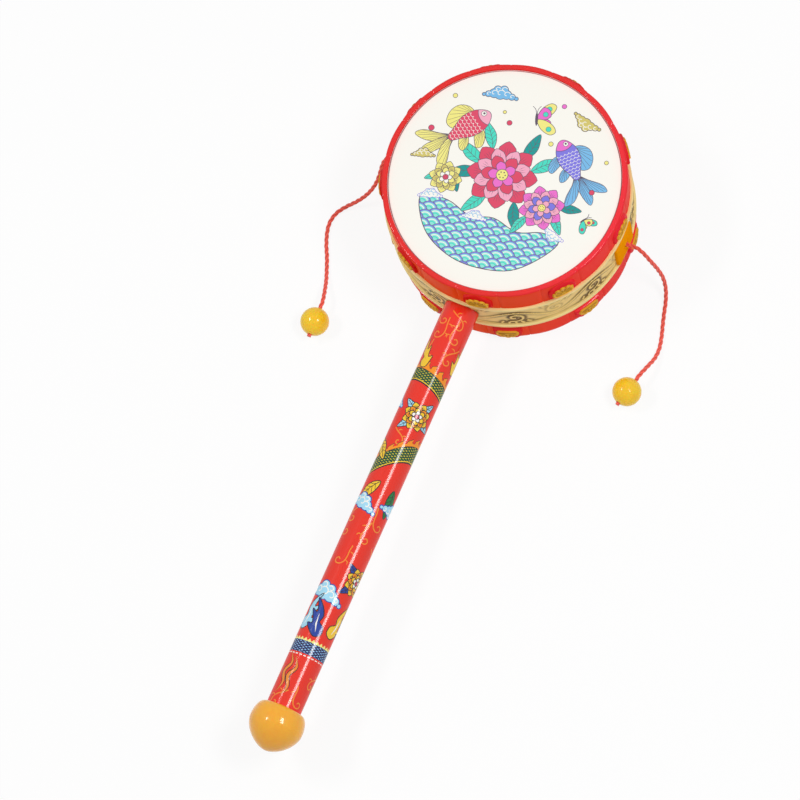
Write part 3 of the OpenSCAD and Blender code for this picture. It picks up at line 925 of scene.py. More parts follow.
class RATTLE_OT_studio(bpy.types.Operator):
    """Makes the camera, the lamps and the floor"""
    bl_idname = "rattle.studio"
    bl_label = "Studio"

    # Each lamp's direction as the camera sees it, from the highlights on the beads, and its width in metres
    lamps = {"left_lamp": ((-0.64, 0.31, 0.70), 0.12), "right_lamp": ((0.38, 0.18, 0.91), 0.2)}
    # Height of the lamps, their distance from the target and the floor's size, in metres
    lamp_height = 0.3
    lamp_distance = 0.9
    floor_size = 3.0
    # Depth of the floor under the rear hoop, in mm
    floor_gap = 0.02

    def execute(self, context):
        studio = context.scene.rattle_studio
        right, up, back = camera_axes(studio)
        target = Vector(studio.target) * MM
        self.make_camera(context, studio, right, up, back, target)
        for name, ((x, y, z), width) in self.lamps.items():
            direction = (right * x + up * y + back * z).normalized()
            self.make_lamp(context, name, getattr(studio, name), width, direction, up, target)
        self.make_world(context, studio)
        self.make_floor(context, studio)
        context.scene.view_settings.view_transform = "Standard"
        return {"FINISHED"}

    def make_camera(self, context, studio, right, up, back, target):
        """The camera, at the photograph's viewing angle."""
        data = bpy.data.cameras.new("camera")
        data.lens = studio.lens
        data.sensor_width = 36
        data.clip_start, data.clip_end = 0.05, 20
        camera = bpy.data.objects.new("camera", data)
        turn = Matrix((right, up, back)).transposed().to_4x4()
        camera.matrix_world = Matrix.Translation(target + back * studio.distance * MM) @ turn
        context.scene.collection.objects.link(camera)
        context.scene.camera = camera

    def make_lamp(self, context, name, light, width, direction, up, target):
        """A soft upright lamp, whose power follows from the light that it adds at the target."""
        data = bpy.data.lights.new(name, "AREA")
        data.shape = "RECTANGLE"
        data.size, data.size_y = width, self.lamp_height
        data.energy = light * (math.pi * self.lamp_distance) ** 2
        lamp = bpy.data.objects.new(name, data)
        side = up.cross(direction).normalized()
        turn = Matrix((side, direction.cross(side), direction)).transposed().to_4x4()
        lamp.matrix_world = Matrix.Translation(target + direction * self.lamp_distance) @ turn
        context.scene.collection.objects.link(lamp)

    def make_world(self, context, studio):
        """Even light from all round, which the camera and reflections see as plain white."""
        sky = Finish("studio", "worlds")
        light = sky.add("Background", None, {"Color": WHITE, "Strength": studio.sky})
        white = sky.add("Background", None, {"Color": WHITE, "Strength": 1.0})
        mixed = sky.add("MixShader", None, {0: seen_rays(sky), 1: light, 2: white})
        sky.add("OutputWorld", None, {"Surface": mixed})
        context.scene.world = sky.material

    def make_floor(self, context, studio):
        """A plain pale floor."""
        mesh = bpy.data.meshes.new("floor")
        reach, depth = self.floor_size / 2, -self.floor_gap * MM
        corners = [(x * reach, y * reach, depth) for x, y in ((-1, -1), (1, -1), (1, 1), (-1, 1))]
        mesh.from_pydata(corners, [], [(0, 1, 2, 3)])
        mesh.materials.append(studio_floor("floor_white", studio.floor_white))
        floor = bpy.data.objects.new("floor", mesh)
        context.scene.collection.objects.link(floor)


# The cords, their knots and their beads

# Route of each free cord between its hole and its bead, in mm
ROUTES = {
    "right": (
        (46.6, 0, 21.4), (49.2, -0.6, 20.1), (51.8, -1.4, 17.2), (54.2, -1.9, 13.2), (56.4, -2.9, 8.8),
        (58, -5, 4.8), (59.2, -8.3, 2), (60.1, -12, 0.85), (61.2, -15.8, 0.75), (62.5, -20, 0.75),
        (63.5, -24.4, 1), (63.6, -28.6, 2.2), (62.8, -32.4, 3.9)),
    "left": (
        (-44.9, -0.2, 20.9), (-46.1, -0.8, 20), (-46.9, -2, 18.6), (-47.2, -3.6, 16.9), (-47.4, -5.6, 14.7),
        (-48, -8, 12.1), (-49.4, -10.4, 9.2), (-51.6, -12.6, 6.2), (-54.2, -14.6, 3.7), (-57, -16.7, 1.8),
        (-59.3, -19.6, 0.9), (-60.2, -23.2, 0.75), (-59.7, -27, 0.75), (-58, -31.6, 0.75),
        (-56, -35.6, 0.75), (-54.2, -39.8, 0.85), (-52.4, -44, 1.8), (-50.8, -48.2, 3.8)),
}


def bead_place(side, sizes):
    """A bead's middle and the direction of its cord through it, in mm."""
    low, high = span(side + "_bead")
    heading = getattr(sizes, side + "_heading")
    return (low + high) / 2, Vector((math.cos(heading), math.sin(heading), 0))


def knot_distance(side, bead):
    """Distance from a bead's middle to the middle of its end knot, in mm."""
    low, high = span(side + "_end_knot")
    return ((low + high) / 2 - bead).length


def cord_path(side, sizes):
    """The line that a cord follows, from its knot inside the drum to its knot past the bead, in mm."""
    out = SIDES[side]
    tail_low, tail_high = span(side + "_cord_tail")
    knot_x = min(abs(tail_low.x), abs(tail_high.x)) + sizes.inner_knot_r
    bead, heading = bead_place(side, sizes)
    inside = [(out * x, 0, MID_Z)
              for x in (knot_x, (knot_x + BAND_R) / 2, BAND_R, PLATE_R, PLATE_R + sizes.bend_at)]
    into_bead = [bead - heading * d for d in (sizes.seat + sizes.lead, sizes.seat, sizes.seat / 2)]
    past_bead = [bead + heading * d for d in (0, BEAD_R / 2, BEAD_R + sizes.knot_r / 2)]
    return smooth([*inside, *ROUTES[side], *into_bead, *past_bead], closed=False, steps=8)


def resampled(path, step):
    """Points at even steps along a path."""
    marks = [0.0]
    for a, b in zip(path, path[1:]):
        marks.append(marks[-1] + (b - a).length)
    count = max(int(marks[-1] / step), 2)
    even, at = [], 0
    for i in range(count + 1):
        goal = marks[-1] * i / count
        while at < len(marks) - 2 and marks[at + 1] < goal:
            at += 1
        share = (goal - marks[at]) / max(marks[at + 1] - marks[at], 1e-9)
        even.append(path[at].lerp(path[at + 1], share))
    return even


def path_frames(path):
    """Two directions across the path at each point, carried along it without twist."""
    last = len(path) - 1
    ahead = [(path[min(i + 1, last)] - path[max(i - 1, 0)]).normalized() for i in range(last + 1)]
    side = ahead[0].cross(Vector((0.3, 0.2, 1))).normalized()
    frames = []
    for before, now in zip([ahead[0]] + ahead, ahead):
        side = before.rotation_difference(now) @ side
        side = (side - now * side.dot(now)).normalized()
        frames.append((side, now.cross(side)))
    return frames


def ply_ring(centre, radius, across, up, outward, count):
    """A round ring of points, and a level of painted shade for each: 0 facing the cord's middle, and 1
    facing out of it.
    """
    ring, levels = [], []
    for k in range(count):
        bearing = TURN * k / count
        direction = across * math.cos(bearing) + up * math.sin(bearing)
        ring.append(centre + direction * radius)
        levels.append(max(min(0.5 + 0.7 * direction.dot(outward), 1), 0))
    return ring, levels


def twisted_cord(path, sizes):
    """Plies that wind round each other along a path."""
    step, sides = 0.3, 8
    form = Form()
    path = resampled(path, step)
    frames = path_frames(path)
    lay_r = sizes.cord_r * sizes.lay_share
    ply_r = sizes.cord_r - lay_r
    for ply in range(sizes.plies):
        rows, levels = [], []
        travelled = 0.0
        for i, (point, (across, up)) in enumerate(zip(path, frames)):
            travelled += (point - path[i - 1]).length if i else 0
            bearing = TURN * (ply / sizes.plies + travelled / sizes.pitch)
            outward = across * math.cos(bearing) + up * math.sin(bearing)
            ring, level = ply_ring(point + outward * lay_r, ply_r, across, up, outward, sides)
            rows.append(ring)
            levels.append(level)
        # Painted shade: each ply is darker where it turns in towards the cord's middle
        form.grid(rows, lambda i, j: level_ink(levels[i][j]), closed_columns=True)
        for row in (rows[0], rows[-1]):
            form.add(row, [list(range(sides))], level_ink(0.4))
    return form


def knot_form(centre, axis, radius):
    """A small overhand knot, drawn tight: a three-lobed loop of the cord, with the bumps of its plies."""
    steps, sides, bumps = 96, 8, 11
    side = axis.orthogonal().normalized()
    up = axis.cross(side)
    rope = radius * 0.42
    big, small, rise = (radius - rope) * 0.3844, (radius - rope) * 0.532, rope * 0.75
    path = []
    for i in range(steps):
        t = TURN * i / steps
        x = big * math.sin(2 * t) + small * math.sin(t)
        y = big * math.cos(2 * t) - small * math.cos(t)
        z = -rise * math.sin(3 * t)
        path.append(centre + side * x + up * y + axis * z)
    form = Form()
    rows = []
    for i, point in enumerate(path):
        ahead = (path[(i + 1) % steps] - path[i - 1]).normalized()
        across = ahead.cross(axis).normalized()
        over = ahead.cross(across)
        thick = rope * (1 + 0.08 * math.sin(TURN * i * bumps / steps))
        ring, _ = ply_ring(point, thick, across, over, over, sides)
        rows.append(ring)
    # Painted shade: the ink darkens and lightens with the bumps of the plies
    form.grid(rows, lambda i, j: level_ink(0.35 + 0.3 * math.sin(TURN * (i * bumps / steps + j / sides))),
              closed_rows=True, closed_columns=True)
    return form


def bead_form(sizes):
    """A turned bead about Z, with a bore, eased edges and a faint line round its middle."""
    steps, arcs, ridge_turn = 48, 28, 0.05
    bore, ease = sizes.cord_r + sizes.bore_play, sizes.bead_ease
    start = math.asin((bore + ease) / BEAD_R)
    profile = []
    for i in range(arcs + 1):
        bearing = start + (math.pi - 2 * start) * i / arcs
        ridge = max(0, 1 - abs(bearing - math.pi / 2) / ridge_turn)
        r = BEAD_R + sizes.bead_ridge * (ridge - 1)
        profile.append((r * math.sin(bearing), -r * math.cos(bearing)))
    top = profile[-1][1]
    profile += [(bore + ease * 0.35, top - ease * 0.25), (bore, top - ease), (bore, ease - top),
                (bore + ease * 0.35, ease * 0.25 - top)]
    return revolved(profile, steps)


class RATTLE_OT_cords(bpy.types.Operator):
    """Makes the two twisted cords with their knots and beads"""
    bl_idname = "rattle.cords"
    bl_label = "Cords and beads"

    def execute(self, context):
        sizes, colours = context.scene.rattle_cord, context.scene.rattle_finish
        yarn = twisted_yarn("twisted_yarn", colours.cord)
        beads = translucent_plastic("bead_plastic", colours.bead, glow=0.35)
        for side in SIDES:
            self.make_side(side, sizes, yarn, beads)
        return {"FINISHED"}

    def make_side(self, side, sizes, yarn, beads):
        """One cord with its two knots and its bead."""
        out = SIDES[side]
        path = cord_path(side, sizes)
        root, line = side + "_cord_root", side + "_cord_line"
        bead, heading = bead_place(side, sizes)
        knot_middle = bead + heading * knot_distance(side, bead)
        end_knot = make_piece(
            side + "_bead_knot", knot_form(knot_middle, heading, sizes.knot_r), yarn, line,
            [side + "_end_knot"], sharp=70)
        tilt = Vector((0, 0, 1)).rotation_difference(heading).to_matrix().to_4x4()
        ball = make_piece(
            side + "_amber_bead", bead_form(sizes).turned(Matrix.Translation(bead) @ tilt), beads,
            side + "_bead_ball", [side + "_bead"])
        make_piece(
            side + "_inner_knot", knot_form(path[0], Vector((out, 0, 0)), sizes.inner_knot_r),
            yarn, root, sharp=70)
        cord = make_piece(
            side + "_twisted_cord", twisted_cord(path, sizes), yarn, None,
            [side + "_cord_tail", side + "_cord"], sharp=70)
        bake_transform(cord)
        real = sum((b - a).length for a, b in zip(path, path[1:]))
        [tuple(p * MM) for p in path]


# The hoops and their ornaments

class HoopShape:
    """The front hoop's shape. s runs round its wall from the middle of an ornament, in mm."""

    # Depth of a seam where it crosses the lip, in mm
    notch = 0.14
    # Steps of the mesh over the scallop's bevel, and over half of a repeat
    bevel_rings = 4
    cuts_in_half = 10

    def __init__(self, sizes):
        self.sizes = sizes
        self.wall_r = SHELL_R + sizes.wall
        self.head_r = SHELL_R - sizes.lip_reach
        self.period = TURN * self.wall_r / sizes.pairs
        self.low = span("front_hoop")[0].z
        self.high = DRUM_TOP - sizes.round
        self.top = DRUM_TOP - sizes.scallop_drop
        self.foot = self.top - sizes.scallop_h

    def from_seam(self, s):
        """Distance to the nearest seam between two panels."""
        return abs(s % (self.period / 2) - self.period / 4)

    def in_scallop(self, s, z):
        """Distance in from the scallop's outline, negative outside it."""
        half = self.sizes.scallop_w / 2
        over = z - (self.top - half)
        side = half - (math.hypot(s, over) if over > 0 else abs(s))
        return min(side, z - self.foot)

    def groove(self, s):
        """Share of the seam's depth, from 0 at its edges to 1 in its middle."""
        return max(0, 1 - self.from_seam(s) / (self.sizes.seam_w / 2))

    def height(self, s, z):
        """How far the wall stands out past its plain radius."""
        share = self.from_seam(s) / (self.period / 4)
        rise = self.sizes.bulge * (1 - (1 - share) ** 2) - self.sizes.seam_depth * self.groove(s)
        inside = self.in_scallop(s, z)
        if inside > 0:
            edge = min(inside / self.sizes.bevel, (self.top - z) / self.sizes.slope, 1)
            rise += (SCALLOP_R - self.wall_r - rise) * math.sin(edge * math.pi / 2)
        return rise

    def scallop_loop(self, inset):
        """The scallop's outline, or one inside it."""
        half = self.sizes.scallop_w / 2 - inset
        spring = self.top - self.sizes.scallop_w / 2
        corners = [Vector((-half, self.foot + inset)), Vector((half, self.foot + inset))]
        return corners + arc((0, spring), half, 0, math.pi, 28)

    def sector(self, colours):
        """The wall and lip from the middle of one plain panel to the middle of the next."""
        half = self.period / 2
        wall = [Vector((s, z)) for s, z in
                ((-half, self.low), (half, self.low), (half, self.high), (-half, self.high))]
        rings = [self.scallop_loop(self.sizes.bevel * i / self.bevel_rings)
                 for i in range(self.bevel_rings + 1)]
        marks = [half * i / self.cuts_in_half for i in range(1 - self.cuts_in_half, self.cuts_in_half)]
        for side in (-1, 1):
            seam = side * self.period / 4
            marks = [m for m in marks if abs(m - seam) > self.sizes.seam_w]
            marks += [seam - self.sizes.seam_w / 2, seam, seam + self.sizes.seam_w / 2]
        slope_z = self.top - self.sizes.slope
        cuts = [(Vector((m, self.low)), Vector((m, self.high))) for m in marks]
        cuts.append((Vector((-half, slope_z)), Vector((half, slope_z))))
        spots, faces = cut_sheet([wall] + rings, cuts)
        raised = set(Middles(spots, faces).inside(rings[0]))
        form = Form()
        form.add([self.on_wall(p.x, p.y) for p in spots], faces,
                 [linear(colours.scallop if i in raised else colours.hoop) for i in range(len(faces))])
        self.add_lip(form, sorted(marks + [-half, half]), linear(colours.lip))
        return form

    def on_wall(self, s, z):
        """The point of the wall's surface at a place round it and a height."""
        return on_drum(self.wall_r + self.height(s, z), s / self.wall_r, z)

    def add_lip(self, form, marks, ink):
        """The rounded top, the lip over the head and the skirt's inside, down to the wall's foot."""
        outer_round, inner_round = self.sizes.round, self.sizes.lip_round
        outer = [(self.wall_r - outer_round * (1 - math.cos(t)), self.high + outer_round * math.sin(t))
                 for t in QUARTER]
        inner = [(self.head_r + inner_round * (1 - math.sin(t)), DRUM_TOP - inner_round * (1 - math.cos(t)))
                 for t in QUARTER]
        hidden = [(self.head_r, HEAD_TOP), (SHELL_R, HEAD_TOP), (SHELL_R, self.low), (self.wall_r, self.low)]
        profile = outer + inner + hidden
        notched = range(2, len(outer + inner) - 2)
        rows = []
        for index, (r, z) in enumerate(profile):
            # The panels' relief fades out over the outer edge, and is whole again at the wall's foot
            relief = 1 if index == len(profile) - 1 else max(0, 1 - index / (len(outer) - 1))
            row = []
            for s in marks:
                dip = self.notch * self.groove(s) if index in notched else 0
                row.append(on_drum(r + self.height(s, self.high) * relief, s / self.wall_r, z - dip))
            rows.append(row)
        form.grid(rows, ink)


def fan_reach(sizes, bearing):
    """Distance from a fan's middle to its outline, at a bearing from straight up."""
    way = Vector((math.sin(bearing), math.cos(bearing)))
    # Distance from the fan's middle to the middle of each petal's round tip
    tip_at = sizes.fan_r - sizes.petal_r
    if way.y < 0:
        side = Vector((sizes.petal_r, sizes.foot_h))
        reach = sizes.fan_r * side.y / (abs(way.x) * side.y - way.y * side.x)
        return min(reach, sizes.foot_h / -way.y)
    reach = tip_at
    for i in range(sizes.petals):
        place = sizes.fan_spread * (2 * i / (sizes.petals - 1) - 1)
        along = tip_at * math.cos(bearing - place)
        left = sizes.petal_r ** 2 - tip_at ** 2 + along ** 2
        if left > 0:
            reach = max(reach, along + math.sqrt(left))
    return reach


def fan_form(sizes, shape):
    """One fan at +X: a raised rim round its petals, a rib on each and a boss in the middle."""
    steps, rings, sunk = 144, 16, 0.05
    form = Form()
    middle = shape.foot + sizes.bevel + sizes.foot_h
    low_r = SCALLOP_R - sunk
    rows, levels = [], []
    for k in range(rings + 1):
        share = 1 - k / rings
        row, level = [], []
        for i in range(steps):
            bearing = TURN * i / steps
            height = fan_height(sizes, share, bearing)
            reach = fan_reach(sizes, bearing) * share
            y, z = reach * math.sin(bearing), middle + reach * math.cos(bearing)
            radius = low_r + (FAN_R - low_r) * height
            row.append(on_drum(radius, y / radius, z))
            level.append(height)
        rows.append(row)
        levels.append(level)
    # The gold is darker where the relief is lower: painted shade in the fan's hollows
    form.grid(rows, lambda i, j: level_ink(shaded_gilt_level(levels[i][j])), closed_columns=True)
    form.add(rows[0], [list(range(steps))], level_ink(0))
    return form


def fan_height(sizes, share, bearing):
    """Height of a fan's relief, from 0 to 1, at a share of the way from its middle to its edge."""
    # Share of the way at which the rim is highest, and height of the ground inside it
    crest, field = 0.89, 0.42
    if share > 0.99:
        return 0
    if share > crest:
        rim = 1 - 0.35 * (share - crest) / 0.1
    else:
        rim = 1 - (crest - share) / 0.09
    pitch = 2 * sizes.fan_spread / (sizes.petals - 1)
    upper = math.cos(bearing) > -0.1
    rib = math.cos(math.pi * ((bearing + math.pi) % TURN - math.pi) / pitch) ** 2 if upper else 0.3
    rib *= max(0, min(1, (share - 0.2) / 0.15))
    boss = max(0, 1 - (share / 0.26) ** 2)
    return min(1, max(rim, field + 0.34 * rib, field + 0.5 * math.sqrt(boss)))


def shaded_gilt_level(height):
    """Brightness of the gold at a height of the relief, darker lower down: painted shade in the fan's
    hollows. The fan's outer edge, at 0, is bright.
    """
    return max(0.0, min(1.0, (height - 0.35) / 0.5)) if height else 0.8


class RATTLE_OT_hoops(bpy.types.Operator):
    """Makes the two hoops with their panels and scallops, and the gold fans on them"""
    bl_idname = "rattle.hoops"
    bl_label = "Hoops and ornaments"

    def execute(self, context):
        sizes, colours = context.scene.rattle_hoop, context.scene.rattle_finish
        shape = HoopShape(sizes)
        plastic = hoop_plastic("hoop_plastic", colours.hoop_painted_sheen)
        paint = gilt("gold_relief", colours.gold, colours.gold_painted_shade, metal=0.1, roughness=0.4)
        sector, fan = shape.sector(colours), fan_form(sizes, shape)
        for place, turn, flip in (("front", sizes.front_turn, Matrix()), ("rear", sizes.rear_turn, TO_REAR)):
            ring, fans = Form(), Form()
            for i in range(sizes.pairs):
                move = flip @ Matrix.Rotation(turn + TURN * i / sizes.pairs, 4, "Z")
                ring.join(sector.turned(move))
                fans.join(fan.turned(move))
            make_piece(place + "_moulded_hoop", ring, plastic, "root", [place + "_hoop"])
            make_piece(place + "_gold_fans", fans, paint, "root", [place + "_ornaments"])
        return {"FINISHED"}


# The printed heads

class RATTLE_OT_heads(bpy.types.Operator):
    """Makes the two printed heads"""
    bl_idname = "rattle.heads"
    bl_label = "Heads"

    def execute(self, context):
        inks = context.scene.rattle_print
        lacquer = printed_sheet("printed_head", roughness=0.45, coat=0.12, fibre=0.006)
        spots, triangles, colours = head_print(inks)
        face, back = ([Vector((p.x, p.y, z)) for p in disc((0, 0), HEAD_R, HEAD_SIDES)]
                      for z in (HEAD_TOP, HEAD_BACK))
        form = Form()
        form.add([Vector((p.x, p.y, HEAD_TOP)) for p in spots], triangles, colours)
        form.grid([face, back], linear(inks.paper), closed_columns=True)
        form.add(back, [list(range(HEAD_SIDES))], linear(inks.paper))
        for place, flip in (("front", Matrix()), ("rear", TO_REAR @ ACROSS)):
            make_piece(place + "_printed_head", form.turned(flip), lacquer, "root",
                       [place + "_head"])
        return {"FINISHED"}


# The gold band, its edge lines and the cord plates

class BandShape:
    """Scrolls raised on the gold band, which repeat round it. s runs round the band, in mm."""

    # Size of the mesh's squares, and distance between the marks along a stroke, in mm
    cell = 0.25
    mark_gap = 0.12

    def __init__(self, sizes):
        self.sizes = sizes
        self.period = TURN * BAND_R / sizes.repeats
        self.middle = (BAND_LOW + BAND_HIGH) / 2
        marks = [p for curve in self.curves() for p in resampled([p.to_3d() for p in curve], self.mark_gap)]
        self.tree = repeated_tree(marks, self.period)

    def curves(self):
        """A winding stem with a scroll and five short leaves in each bend, between two border lines."""
        steps = 48
        yield [Vector((self.period * i / steps, self.middle + self.sizes.sway * math.sin(TURN * i / steps)))
               for i in range(steps + 1)]
        for side in (-1, 1):
            bend = self.period * (0.5 + side * 0.25)
            centre = Vector((bend, self.middle + side * 0.9))
            yield [centre + polar(0.5 + 0.62 * t, side * math.pi / 2 - 1.25 * t)
                   for t in (i / 8 for i in range(44))]
            for k in (-2, -1, 0, 1, 2):
                root = Vector((bend + k * 2.1, self.middle + side * (5.6 - abs(k) * 0.5)))
                yield [root, root + Vector((k * 0.35 + 0.25, side * 0.9))]
        for z in (BAND_LOW + self.sizes.border, BAND_HIGH - self.sizes.border):
            yield [Vector((0, z)), Vector((self.period, z))]

    def height(self, s, z):
        """Height of the relief, from 0 to 1."""
        near = self.tree.find((s, z, 0))[2]
        return math.sqrt(max(0, 1 - (near / self.sizes.stroke) ** 2))

    def gold(self, s, z):
        """Brightness of the gold: dark beside the strokes, most of all where the marks crowd. The dark is
        partly print and partly painted shade beside the raised strokes.
        """
        near = self.tree.find((s, z, 0))[2]
        if near < self.sizes.stroke * 0.6:
            return 1.0
        crowd = 0.5 + 0.5 * math.cos(TURN * (s / self.period - 0.25))
        # Distance from a stroke's middle to the deepest of the dark, and the dark's width, in mm
        deepest, width = 0.85, 0.45 + 0.3 * crowd
        return 0.95 - (0.3 + 0.7 * crowd) * math.exp(-((near - deepest) / width) ** 2)

    def form(self):
        """The whole band, from one repeat turned round it."""
        columns, lines = round(self.period / self.cell), round((BAND_HIGH - BAND_LOW) / self.cell)
        places = [self.period * j / columns for j in range(columns + 1)]
        levels = [BAND_LOW + (BAND_HIGH - BAND_LOW) * i / lines for i in range(lines + 1)]
        relief = self.sizes.relief
        rows = [[on_drum(BAND_R - relief * (1 - self.height(s, z)), s / BAND_R, z) for s in places]
                for z in levels]
        inside = [[on_drum(SHELL_R, s / BAND_R, z) for s in places] for z in (BAND_HIGH, BAND_LOW)]
        golds = [[self.gold(s, z) for s in places] for z in levels]
        sector = Form()
        sector.grid(rows, lambda i, j: level_ink(golds[i][j]))
        sector.grid([rows[-1]] + inside + [rows[0]], level_ink(0.6))
        band = Form()
        for i in range(self.sizes.repeats):
            turn = self.sizes.turn + TURN * i / self.sizes.repeats
            band.join(sector.turned(Matrix.Rotation(turn, 4, "Z")))
        return band


def repeated_tree(marks, period):
    """A search tree of marks that repeat along x."""
    tree = KDTree(3 * len(marks))
    for index, mark in enumerate(marks):
        for k in (-1, 0, 1):
            tree.insert(mark + Vector((k * period, 0, 0)), index)
    tree.balance()
    return tree


def edge_line_form(ease):
    """A raised line with rounded outer edges."""
    profile = [(SHELL_R, TRIM_LOW)]
    profile += [(TRIM_R - ease * (1 - math.sin(t)), TRIM_LOW + ease * (1 - math.cos(t))) for t in QUARTER]
    profile += [(TRIM_R - ease * (1 - math.cos(t)), TRIM_HIGH - ease * (1 - math.sin(t))) for t in QUARTER]
    profile += [(SHELL_R, TRIM_HIGH)]
    return revolved(profile, 180)


def plate_form(sizes):
    """A cord plate at +X: eased edges and a raised rim round its hole."""
    half = Vector((PLATE_HIGH.y, (PLATE_HIGH.z - PLATE_LOW.z) / 2))
    hole_r, rim, ease = sizes.hole_r, sizes.rim, sizes.plate_ease
    # Height of the hole's rim, width of a step that looks upright, and least radius of a corner
    rim_h, skin, least_corner = 0.1, 0.02, 0.2
    full = PLATE_R - BAND_R
    low = full - rim_h

    def outline(inset):
        r = max(sizes.plate_corner - inset, least_corner)
        points = []
        for k, (sx, sy) in enumerate(((1, 1), (-1, 1), (-1, -1), (1, -1))):
            centre = (sx * (half.x - inset - r), MID_Z + sy * (half.y - inset - r))
            points += arc(centre, r, k * math.pi / 2, (k + 1) * math.pi / 2, 6)
        return points

    def hole(outset):
        return disc((0, MID_Z), hole_r + outset, 40)

    # Distance in from the outline, and out from the hole, with the height there
    edge = [(0, 0), (skin, low - ease)]
    edge += [(skin + ease * (1 - math.cos(t)), low - ease * (1 - math.sin(t)))
             for t in (0.4, 0.8, 1.2, math.pi / 2)]
    bore = [(0, 0), (skin, full - 0.2), (0.08, full - 0.06), (0.2, full), (rim, full), (rim + rim_h, low)]
    loops = [outline(inset) for inset, _ in edge] + [hole(outset) for outset, _ in bore]
    heights = {}
    for loop, (_, height) in zip(loops, edge + bore):
        for p in loop:
            heights[round(p.x, 3), round(p.y, 3)] = height
    # Points a millimetre apart on the face, which keep its triangles small
    columns, lines = 5, 6
    dots = [Vector((x, MID_Z + y)) for x in range(-columns, columns + 1) for y in range(-lines, lines + 1)
            if math.hypot(x, y) > hole_r + rim + 0.3]
    spots, faces = cut_sheet(loops, dots=dots)
    middles = Middles(spots, faces)
    faces = [faces[i] for i in sorted(set(middles.inside(loops[0])) - set(middles.inside(hole(0))))]
    form = Form()
    for base in (False, True):
        points = []
        for p in spots:
            radius = BAND_R + (0 if base else heights.get((round(p.x, 3), round(p.y, 3)), low))
            points.append(on_drum(radius, math.asin(p.x / radius), p.y))
        form.add(points, [face[::-1] if base else face for face in faces], WHITE)
    return form


class RATTLE_OT_band(bpy.types.Operator):
    """Makes the gold band, its two edge lines and the two cord plates"""
    bl_idname = "rattle.band"
    bl_label = "Band and plates"

    def execute(self, context):
        sizes, colours = context.scene.rattle_band, context.scene.rattle_finish
        foil = gilt("gold_band", colours.band, colours.band_dark_print_and_shade, metal=0.15, roughness=0.36, patchy=0.5)
        make_piece("scrolled_gold_band", BandShape(sizes).form(), foil, "root", ["gold_band"],
                   sharp=60)
        paint = moulded_plastic("edge_line", colours.trim, 0.28)
        line = edge_line_form(sizes.line_ease)
        for place, flip in (("front", Matrix()), ("rear", TO_REAR)):
            make_piece(place + "_raised_line", line.turned(flip), paint, "root",
                       [place + "_edge_line"])
        amber = translucent_plastic(
            "amber_plastic", colours.amber, glow=0.1, roughness=0.3, coat=0.0, shine=0.0)
        plate = plate_form(sizes)
        for side, flip in (("right", Matrix()), ("left", ACROSS)):
            make_piece(side + "_cord_plate", plate.turned(flip), amber, "root",
                       [side + "_cord_anchor"], sharp=50)
        return {"FINISHED"}


# The printed handle and its knob

class HandleShape:
    """The printed tube along -Y, and the knob on its end."""

    # Flat strips round the tube
    strips = 60

    def __init__(self, sizes):
        self.sizes = sizes

    def wrap(self, s, along, radius):
        """A point of the unrolled tube: s from the seam under it, and the distance from the drum."""
        bearing = s / TUBE_R
        x = -radius * math.sin(bearing)
        cope = (BAND_R - math.sqrt(BAND_R ** 2 - x ** 2)) * max(0, 1 - along / self.sizes.cope_run)
        return Vector((x, -BAND_R - along + cope, MID_Z - radius * math.cos(bearing)))

    def facing(self, points, normal):
        """The round walls' true directions at a face's corners, so that reflections run straight along."""
        arms = [Vector((p.x, 0, p.z - MID_Z)) for p in points]
        reaches = [arm.length for arm in arms]
        if max(reaches) - min(reaches) > 0.1:
            return [normal] * len(points)
        outward = 1 if reaches[0] > (TUBE_R + self.sizes.bore_r) / 2 else -1
        return [arm.normalized() * outward for arm in arms]

    def tube(self, inks):
        """The printed wall, the bore and the two ends between them."""
        girth, reach = TURN * TUBE_R, -BAND_R - TUBE_END
        bore_r, ground = self.sizes.bore_r, linear(inks.tube)
        edge = [girth * i / self.strips for i in range(self.strips + 1)]
        outline = [Vector((s, 0)) for s in edge] + [Vector((s, reach)) for s in reversed(edge)]
        cuts = [(Vector((s, 0)), Vector((s, reach))) for s in edge[1:-1]]
        spots, triangles, colours = tube_print(inks, outline, cuts, girth)
        form = Form()
        form.add([self.wrap(p.x, p.y, TUBE_R) for p in spots], triangles, colours)
        for end in (0, reach):
            marks = sorted(p.x for p in spots if abs(p.y - end) < 1e-3)
            form.grid([[self.wrap(s, end, r) for s in marks] for r in (TUBE_R, bore_r)], ground)
        form.grid([[self.wrap(s, along, bore_r) for s in edge] for along in (0, reach)], ground)
        return form

    def knob(self):
        """The knob's outline turned about the handle's axis, with its stem."""
        sizes, steps = self.sizes, 24
        stem_r, stem = sizes.bore_r - sizes.stem_play, sizes.stem_len
        neck, wide = sizes.neck_r, sizes.wide_at
        full, bend = TUBE_END - KNOB_END, 2 / sizes.dome_power
        turns = [math.pi / 2 * i / steps for i in range(1, steps + 1)]
        profile = [(0, -stem), (stem_r, -stem), (stem_r, 0), (neck, 0)]
        profile += [(neck + (KNOB_R - neck) * math.sin(t), wide * (1 - math.cos(t))) for t in turns]
        profile += [(KNOB_R * max(math.cos(t), 0) ** bend, wide + (full - wide) * math.sin(t) ** bend)
                    for t in turns]
        turn = Matrix.Translation((0, TUBE_END, MID_Z)) @ Matrix.Rotation(math.pi / 2, 4, "X")
        return revolved(profile, 96, closed=False).turned(turn)


